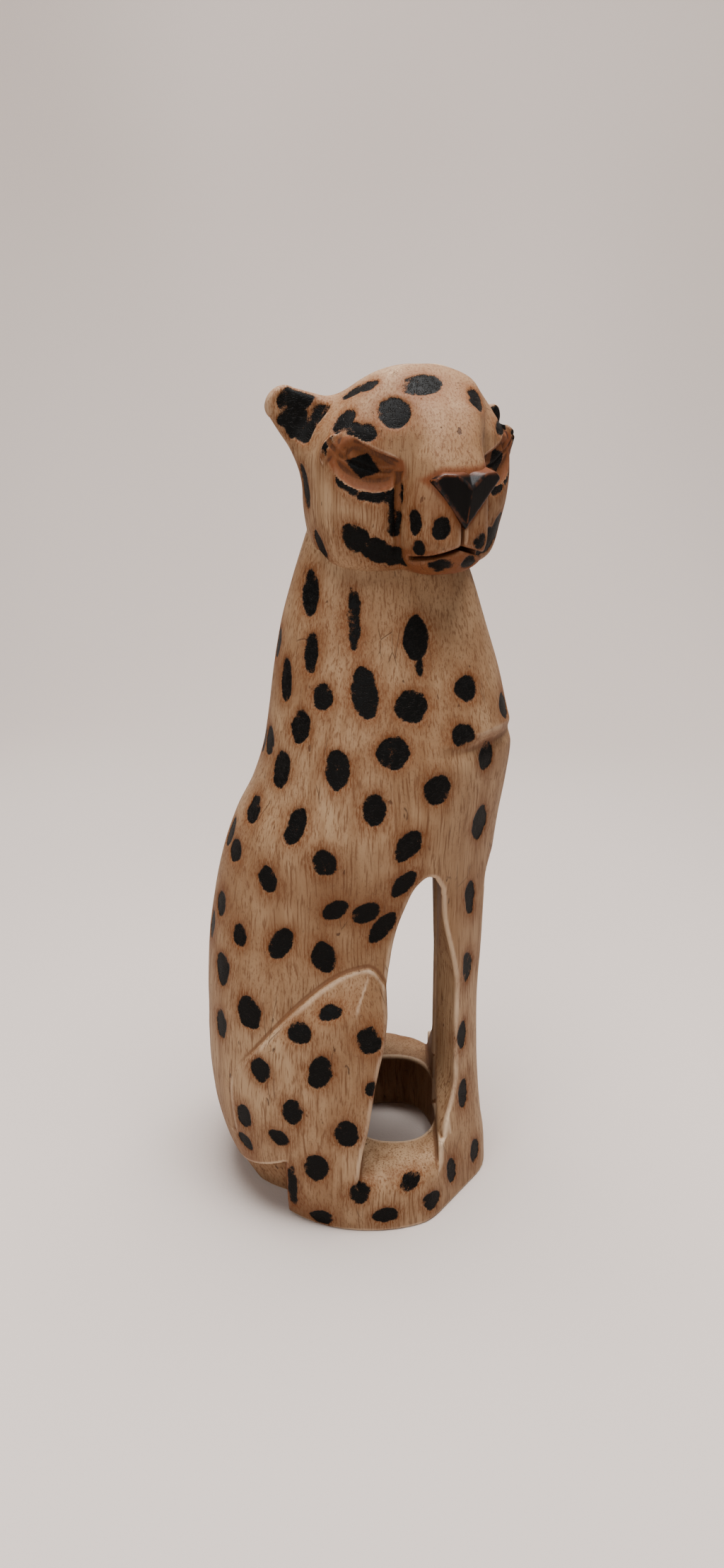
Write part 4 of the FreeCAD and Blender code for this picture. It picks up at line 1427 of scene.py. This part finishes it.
@dataclass(frozen=True)
class NoseFinish:
    """Charred nose leather, glossy on its knife cuts and browned at its edges."""

    black: Colour = srgb(9, 6, 5)
    brown: Colour = srgb(92, 48, 24)

    def build(self, grain: bpy.types.NodeTree) -> bpy.types.Material:
        """Make the material from the grain group."""
        material = bpy.data.materials.new("Nose black")
        material.use_nodes = True
        tree = material.node_tree
        tree.nodes.clear()
        s = Shading(tree)
        place = s.node("ShaderNodeTexCoord").outputs["Object"]
        wood = s.node("ShaderNodeGroup", {"node_tree": grain}, Place=place).outputs
        bend = s.attribute("bend")
        rubbed = s.times(s.step(bend, 0.1, 0.8), s.step(s.noise(place, 500.0, 3.0), 0.42, 0.62))
        colour = s.mix(s.maths("MAXIMUM", rubbed, s.times(s.attribute("scorch"), 0.9)), self.black,
                       self.brown)
        rough = s.maths("ADD", 0.27, s.times(wood["Streak"], 0.3))
        bump = s.node("ShaderNodeBump", Height=wood["Relief"], Strength=0.4, Distance=0.00015).outputs[0]
        shader = s.node("ShaderNodeBsdfPrincipled", Base_Color=colour, Roughness=rough, Normal=bump, IOR=1.5)
        shader.inputs["Specular IOR Level"].default_value = 0.18
        s.node("ShaderNodeOutputMaterial", Surface=shader.outputs[0])
        return material


# ---------------------------------------------------------------------------------------------------------
# Sub-assemblies


@dataclass
class Torso:
    """The body below the head: skin, spots and its pieces."""

    form: BodyForm
    wood: bpy.types.Material
    spots: BurntSpots
    placer: SpotPlacer
    step: float = 0.85
    low: Point3 = (-56, -61, -2)
    high: Point3 = (56, 61, 250)
    tail_half: float = 7.2
    tail_front: float = 46.5
    haunch_inner: float = 34.0
    hind_foot_inner: float = 30.0
    knee: Point2 = (-16, 82)
    armpit: Point2 = (-24, 121)

    def scorch(self, points: Array) -> Array:
        """How brown the wood is in its hollows, from 0 to 1; in the slot, behind the forelegs and under the
        rump it is painted shade.
        """
        x, y, z = points.T
        form = self.form
        hollow = ramp(-form.well(x, y), -1.2, -0.2) * (1 - ramp(z, 22, 25)) * 0.15
        # Painted shade on the walls of the slot between the forelegs.
        slot = ramp(-np.abs(x), -form.slot_half - 1.2, -form.slot_half) * (y < -27) * (z < 134) * 0.2
        # Painted shade on the faces behind the forelegs.
        inner = ramp(y, -33, -29.5) * (1 - ramp(y, -26, -24)) * (z > 24) * (z < 134) * 0.12
        heel = ramp(y, 23.6, 24.8) * (1 - ramp(y, 26, 27)) * (z < 27) * 0.75
        # Painted shade under the rump, behind the heels.
        under = ramp(y, 25.5, 27) * (z < 22) * 0.2
        return np.max([hollow, slot, inner, heel, under], axis=0)

    def build(self) -> None:
        """Mesh, brand and cut the body."""
        form = self.form
        points, faces = Mesher(self.low, self.high, self.step).skin(form.body)
        points[:, 2] = np.maximum(points[:, 2], 0.0)
        bend = bent(form.body, points, 1.1)
        skin = skin_object("trunk_skin", points, faces, scorch=self.scorch(points), bend=bend)
        landed = self.placer.landed(self.placer.around(), form.body, self.placer.body_line)
        landed = [item for item in landed if item[0][2] > 1.0]
        self.spots.brand(skin, self.placer.points_mesh("body_spots", landed), self.wood)
        self.cut(Cutter(skin))

    def cut(self, knife: Cutter) -> None:
        """Cut the skin into the frame's masses.

        Args:
            knife: Cutter that holds the branded skin.
        """
        form = self.form
        neck_low, tail_low, tail_high = (
            level / MM for level in (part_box("neck")[0][2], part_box("tail")[0][2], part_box("tail")[1][2]))
        far, low = 80.0, -5.0
        rail = form.rail_top + 1.2
        heel = form.heel_back + 0.6
        under = form.heel_top - 0.9
        far_under = under - form.undercut_slope * (far - heel)
        toe, instep, back_of_leg = form.leg_back, form.instep, self.armpit[0]
        self.hand(knife, "neck", knife.block((-far, -far, neck_low), (far, far, 300)))
        self.hand(knife, "tail", knife.block((-self.tail_half, self.tail_front, tail_low),
                                             (self.tail_half, far, tail_high)))
        thigh = [(y + 0.4, z + 0.9) for y, z in form.thigh[:-1]]
        thigh += [self.knee, (self.knee[0], form.heel_top), (heel, form.heel_top), (heel, under),
                  (far, far_under), (far, 30)]
        hind_foot = [(instep, low), (heel, low), (heel, form.heel_top), (instep, form.heel_top)]
        side_rail = [(toe, low), (instep, low), (instep, rail), (toe, rail)]
        forefoot = [(-far, low), (toe, low), (toe, rail), (-far, rail)]
        foreleg = [(-far, rail), (back_of_leg, rail), self.armpit, (toe, form.leg_top), (-far, form.leg_top)]
        masses = (("haunch", thigh, self.haunch_inner), ("hind_foot", hind_foot, self.hind_foot_inner),
                  ("side_rail", side_rail, 0.0), ("forefoot", forefoot, 0.0), ("foreleg", foreleg, 0.0))
        for sign, word in ((-1, "right"), (1, "left")):
            for mass, outline, inner in masses:
                from_x, to_x = sorted((sign * inner, sign * far))
                self.hand(knife, mass, knife.prism(outline, from_x, to_x), word)
        seat = [(instep, low), (instep, form.heel_top), (heel, form.heel_top), (heel, under),
                (far, far_under), (far, low - 30), (instep, low - 30)]
        self.hand(knife, "rump_foot", knife.prism(seat, -far, far))
        hand_over(knife.rest("trunk_skin"), Slot.WOOD, "trunk")

    @staticmethod
    def hand(knife: Cutter, mass: str, tool: bpy.types.Object, word: str = "") -> None:
        """Take one mass of wood and tie it to the frame.

        Args:
            knife: Cutter that holds the branded skin.
            mass: Name of the mass, without its side.
            tool: Solid that holds the mass.
            word: The mass's side, where it has one.
        """
        side = f"_{word}" if word else ""
        hand_over(knife.take(f"{mass}_skin{side}", tool), Slot.WOOD, f"{mass}{side}")


@dataclass
class Head:
    """The head: skull, ears, muzzle, jaw and nose."""

    form: HeadForm
    wood: bpy.types.Material
    black: bpy.types.Material
    spots: BurntSpots
    placer: SpotPlacer
    step: float = 0.55
    low: Point3 = (-46, -68, 230)
    high: Point3 = (44, 36, 302)
    nose_step: float = 0.4
    nose_low: Point3 = (-44, -54, 244)
    nose_high: Point3 = (0, -6, 276)
    face: float = 17.0
    muzzle_inner: float = 15.8
    mouth: float = -23.2
    bridge: float = 6.0
    ear_inner: float = 27.5

    def frame_place(self, own: Array) -> Array:
        """Places in the frame from places in the head's own directions, one a row."""
        form = self.form
        out = np.array(form.middle) + own @ np.array([form.ahead, form.right, form.up])
        out[:, 1] -= form.lean * ramp(own[:, 2], 2, 30)
        return out

    def scorch(self, points: Array) -> Array:
        """How browned the wood is about the eyes, nose, lips and chin, from 0 to 1, with painted shade on the
        muzzle's front below the nose.
        """
        form = self.form
        a, w, h = form.own(*points.T)
        browned = np.zeros(len(points))
        for side in Side:
            u, v, n = form.eye_own(a, w, h, side)
            browned = np.maximum(browned, self.in_eye(u, v, n) * 0.95)
        nose = form.nose(*points.T)
        browned = np.maximum(browned, ramp(-nose, -2.2, -0.4) * 0.9)
        mouth = np.abs(form.lip(w, h))
        browned = np.maximum(browned, ramp(-mouth, -2.4, -0.6) * (a > 20) * (np.abs(w) < 16) * 0.8)
        chin = ramp(-h, 22.8, 24.5) * ramp(a, 17, 21) * (np.abs(w) < 16) * 0.85
        # Painted shade on the front of the muzzle, between the nose and the mouth.
        front = ramp(-nose, -9, -2) * ramp(-h, 0, 8) * (a > 24) * 0.3
        return np.max([browned, chin, front], axis=0)

    def painted_eyes(self, points: Array, burn: Array) -> Array:
        """The burns with each eye left clear but for its pupil, a lozenge.

        Args:
            points: Places on the head in mm, one a row.
            burn: Distance to the nearest burn at each place, mm.

        Returns:
            The new distances.
        """
        a, w, h = self.form.own(*points.T)
        for side in Side:
            u, v, n = self.form.eye_own(a, w, h, side)
            clear = 12.0 * (self.in_eye(u, v, n) > 0.5)
            lozenge = (np.abs(u - 0.4) / 4.4 + np.abs(v + 1.2) / 3.0 - 1.0) * 2.0
            pupil = np.maximum(lozenge, 0.0) + 8.0 * (np.abs(n) > 6)
            burn = np.minimum(np.maximum(burn, clear), pupil)
        return burn

    @staticmethod
    def in_eye(u: Array, v: Array, n: Array) -> Array:
        """1 inside an eye's hollow and 0 outside it, in the eye's own directions."""
        eye = np.maximum(np.hypot(u / 12.6, v / 8.0), 1.0 + (v - 5.2 - 0.10 * u) / 8.0)
        return ramp(-eye, -1.06, -0.96) * (n > -8)

    def head_line(self, spot: Spot) -> tuple[Array, Array]:
        """The line that finds a head spot, in the head's own directions."""
        rise, bearing = math.radians(spot.height), math.radians(spot.bearing)
        level = math.cos(rise)
        out = np.array([level * math.cos(bearing), level * math.sin(bearing), math.sin(rise)])
        return out * self.placer.start, -out

    def own_field(self, a: Array, w: Array, h: Array) -> Array:
        """Signed distance to the head at places in its own directions."""
        return self.form.head(*self.frame_place(np.stack([a, w, h], axis=1)).T)

    def build(self) -> None:
        """Mesh, brand and cut the head, and add the nose."""
        form = self.form
        points, faces = Mesher(self.low, self.high, self.step).skin(form.head)
        bend = bent(form.head, points, 0.8)
        skin = skin_object("head_skin", points, faces, scorch=self.scorch(points), bend=bend)
        spots = [*HEAD_SPOTS, *NAPE_SPOTS, *FACE_SPOTS]
        spots += [spot.mirrored() for spot in (*FACE_SPOTS[1:], *NAPE_SPOTS[:3], *NAPE_SPOTS[4:6])]
        landed = []
        for place, _, spot in self.placer.landed(spots, self.own_field, self.head_line):
            at = self.frame_place(place[None])
            outward, _ = slope_of(form.head, at, 0.8)
            landed.append((at[0], outward[0], spot))
        landed += self.ear_patches()
        self.spots.brand(skin, self.placer.points_mesh("head_spots", landed), self.wood)
        burn = self.painted_eyes(points, read(skin.data, "burn"))
        skin.data.attributes["burn"].data.foreach_set("value", burn.astype(np.float32))
        self.cut(Cutter(skin))
        self.nose()

    def ear_patches(self) -> list[Landed]:
        """Heart-shaped burns in the hollow of each ear."""
        form, patches = self.form, []
        root, tip = np.array(form.ear_root), np.array(form.ear_tip)
        facing = np.array(form.ear_facing)
        marks = ((0.80, -3.0, 12, 9, 30), (0.80, 3.4, 12, 9, 70), (0.50, 0.2, 15, 11, 50))
        for side in Side:
            for share, aside, long, wide, tilt in marks:
                own = root + (tip - root) * share + np.array([0.0, 0.0, aside]) + facing * 5.0
                own = own * [1, side.value, 1] - [0, 0, form.ear_drop(side)]
                at = self.frame_place(own[None])
                for _ in range(30):
                    slope, _ = slope_of(form.head, at, 0.4)
                    at = at - slope * np.clip(form.head(*at.T), -1, 1)[:, None] * 0.6
                outward, _ = slope_of(form.head, at, 0.8)
                patches.append((at[0], outward[0], Spot(0, 0, long, wide, tilt * side.value)))
        return patches

    def cut(self, knife: Cutter) -> None:
        """Cut the skin into the frame's masses.

        Args:
            knife: Cutter that holds the branded skin.
        """
        form = self.form
        columns = np.array([form.ahead, form.right, form.up]).T
        place = Matrix.Translation(Vector(form.middle) * MM) @ Matrix(columns.tolist()).to_4x4()
        half, far = self.muzzle_inner, 60.0
        tools = []
        for side in Side:
            low, high = sorted((side.value * self.ear_inner, side.value * far))
            corner = (-45, low, 10.0 - form.ear_drop(side))
            tools.append((f"ear_{side.word}", knife.block(corner, (10, high, far), place)))
        muzzle = knife.block((self.face, -half, self.mouth), (far, half, self.bridge), place)
        lower_jaw = knife.block((self.face, -half, -far), (far, half, self.mouth), place)
        tools += [("muzzle", muzzle), ("lower_jaw", lower_jaw)]
        for name, tool in tools:
            hand_over(knife.take(f"{name}_skin", tool), Slot.WOOD, name)
        hand_over(knife.rest("head_skin"), Slot.WOOD, "head")

    def nose(self) -> None:
        """The nose leather, a separate charred wedge."""
        form = self.form
        points, faces = Mesher(self.nose_low, self.nose_high, self.nose_step).skin(form.nose)
        a, w, h = form.own(*points.T)
        top = ramp(h, -1.6, 0.4)
        nose = skin_object("nose_leather", points, faces, scorch=top, bend=bent(form.nose, points, 0.6))
        nose.data.materials.append(self.black)
        nose.data.polygons.foreach_set("use_smooth", np.ones(len(nose.data.polygons), bool))
        hand_over(nose, Slot.NOSE, "nose")


@dataclass
class Studio:
    """Pale sheet, soft lights and the camera."""

    floor: Colour = srgb(196, 183, 175)
    camera_place: Point3 = (-0.397, -0.0025, 0.300)
    pitch: float = 20.0
    lens: float = 26.68
    room_light: float = 0.13
    lamps: tuple[tuple[str, Point3, float, float], ...] = (
        ("Key", (0.0, -0.06, 1.25), 0.8, 41.0), ("Left", (-0.8, 0.4, 0.5), 0.5, 4.0),
        ("Right", (-0.3, -1.0, 0.65), 0.7, 1.6))

    def build(self) -> None:
        """Lay the sheet and set the lights and the camera."""
        self.sheet()
        scene = bpy.context.scene
        world = bpy.data.worlds.new("Soft room")
        world.use_nodes = True
        glow = world.node_tree.nodes["Background"].inputs
        glow["Color"].default_value = (1.0, 0.96, 0.92, 1)
        glow["Strength"].default_value = self.room_light
        scene.world = world
        for name, place, size, power in self.lamps:
            light = bpy.data.lights.new(name, "AREA")
            light.energy, light.size = power, size
            lamp = bpy.data.objects.new(name, light)
            lamp.location = place
            lamp.rotation_euler = (Vector((0, 0, 0.15)) - Vector(place)).to_track_quat("-Z", "Y").to_euler()
            scene.collection.objects.link(lamp)
        camera = bpy.data.objects.new("Camera", bpy.data.cameras.new("Camera"))
        camera.data.lens = self.lens
        camera.data.clip_start = 0.01
        camera.location = self.camera_place
        camera.rotation_euler = (math.radians(90 - self.pitch), 0.0, math.radians(-90))
        scene.collection.objects.link(camera)
        scene.camera = camera

    def sheet(self) -> None:
        """A pale sheet with soft, low folds, drawn up behind the figure."""
        mesh = bpy.data.meshes.new("Sheet")
        count, half, flat, bend = 110, 2.2, 0.55, 0.5
        run, y = np.meshgrid(np.linspace(-1.6, 2.6, count), np.linspace(-half, half, count), indexing="ij")
        turn = np.clip((run - flat) / bend, 0.0, np.pi / 2)
        past = np.maximum(run - flat - bend * np.pi / 2, 0.0)
        x = np.minimum(run, flat) + bend * np.sin(turn)
        z = bend * (1 - np.cos(turn)) + past
        folds = 0.006 * np.sin(9 * run + 5 * y + 2 * np.sin(4 * y)) + 0.004 * np.sin(17 * y - 6 * run)
        lift = (folds - 0.012) * ramp(np.hypot(run, y), 0.12, 0.5)
        x, z = x - lift * np.sin(turn), z + lift * np.cos(turn) - 0.0002
        number = np.arange(count * count).reshape(count, count)
        corners = [number[:-1, :-1], number[1:, :-1], number[1:, 1:], number[:-1, 1:]]
        quads = np.stack(corners, axis=-1).reshape(-1, 4)
        mesh.from_pydata(np.stack([x, y, z], axis=-1).reshape(-1, 3).tolist(), [], quads.tolist())
        mesh.polygons.foreach_set("use_smooth", np.ones(len(mesh.polygons), bool))
        material = bpy.data.materials.new("Sheet")
        material.use_nodes = True
        s = Shading(material.node_tree)
        shader = material.node_tree.nodes["Principled BSDF"]
        place = s.node("ShaderNodeTexCoord").outputs["Object"]
        weave = s.noise(place, 900.0, 2.0)
        shader.inputs["Base Color"].default_value = self.floor
        shader.inputs["Roughness"].default_value = 0.9
        bump = s.node("ShaderNodeBump", Height=weave, Strength=0.3, Distance=0.0003)
        material.node_tree.links.new(bump.outputs[0], shader.inputs["Normal"])
        mesh.materials.append(material)
        sheet = bpy.data.objects.new("Sheet", mesh)
        bpy.context.scene.collection.objects.link(sheet)


def main() -> None:
    """Build the figure, its finishes and its stage."""
    logging.basicConfig(level=logging.INFO, format="%(message)s")
    grain, burn = GrainGroup().build(), BurnGroup().build()
    wood, black = WoodFinish().build(grain, burn), NoseFinish().build(grain)
    spots, placer = BurntSpots(), SpotPlacer()
    Torso(BodyForm(), wood, spots, placer).build()
    Head(HeadForm(), wood, black, spots, placer).build()
    Studio().build()


if __name__ == "__main__":
    main()
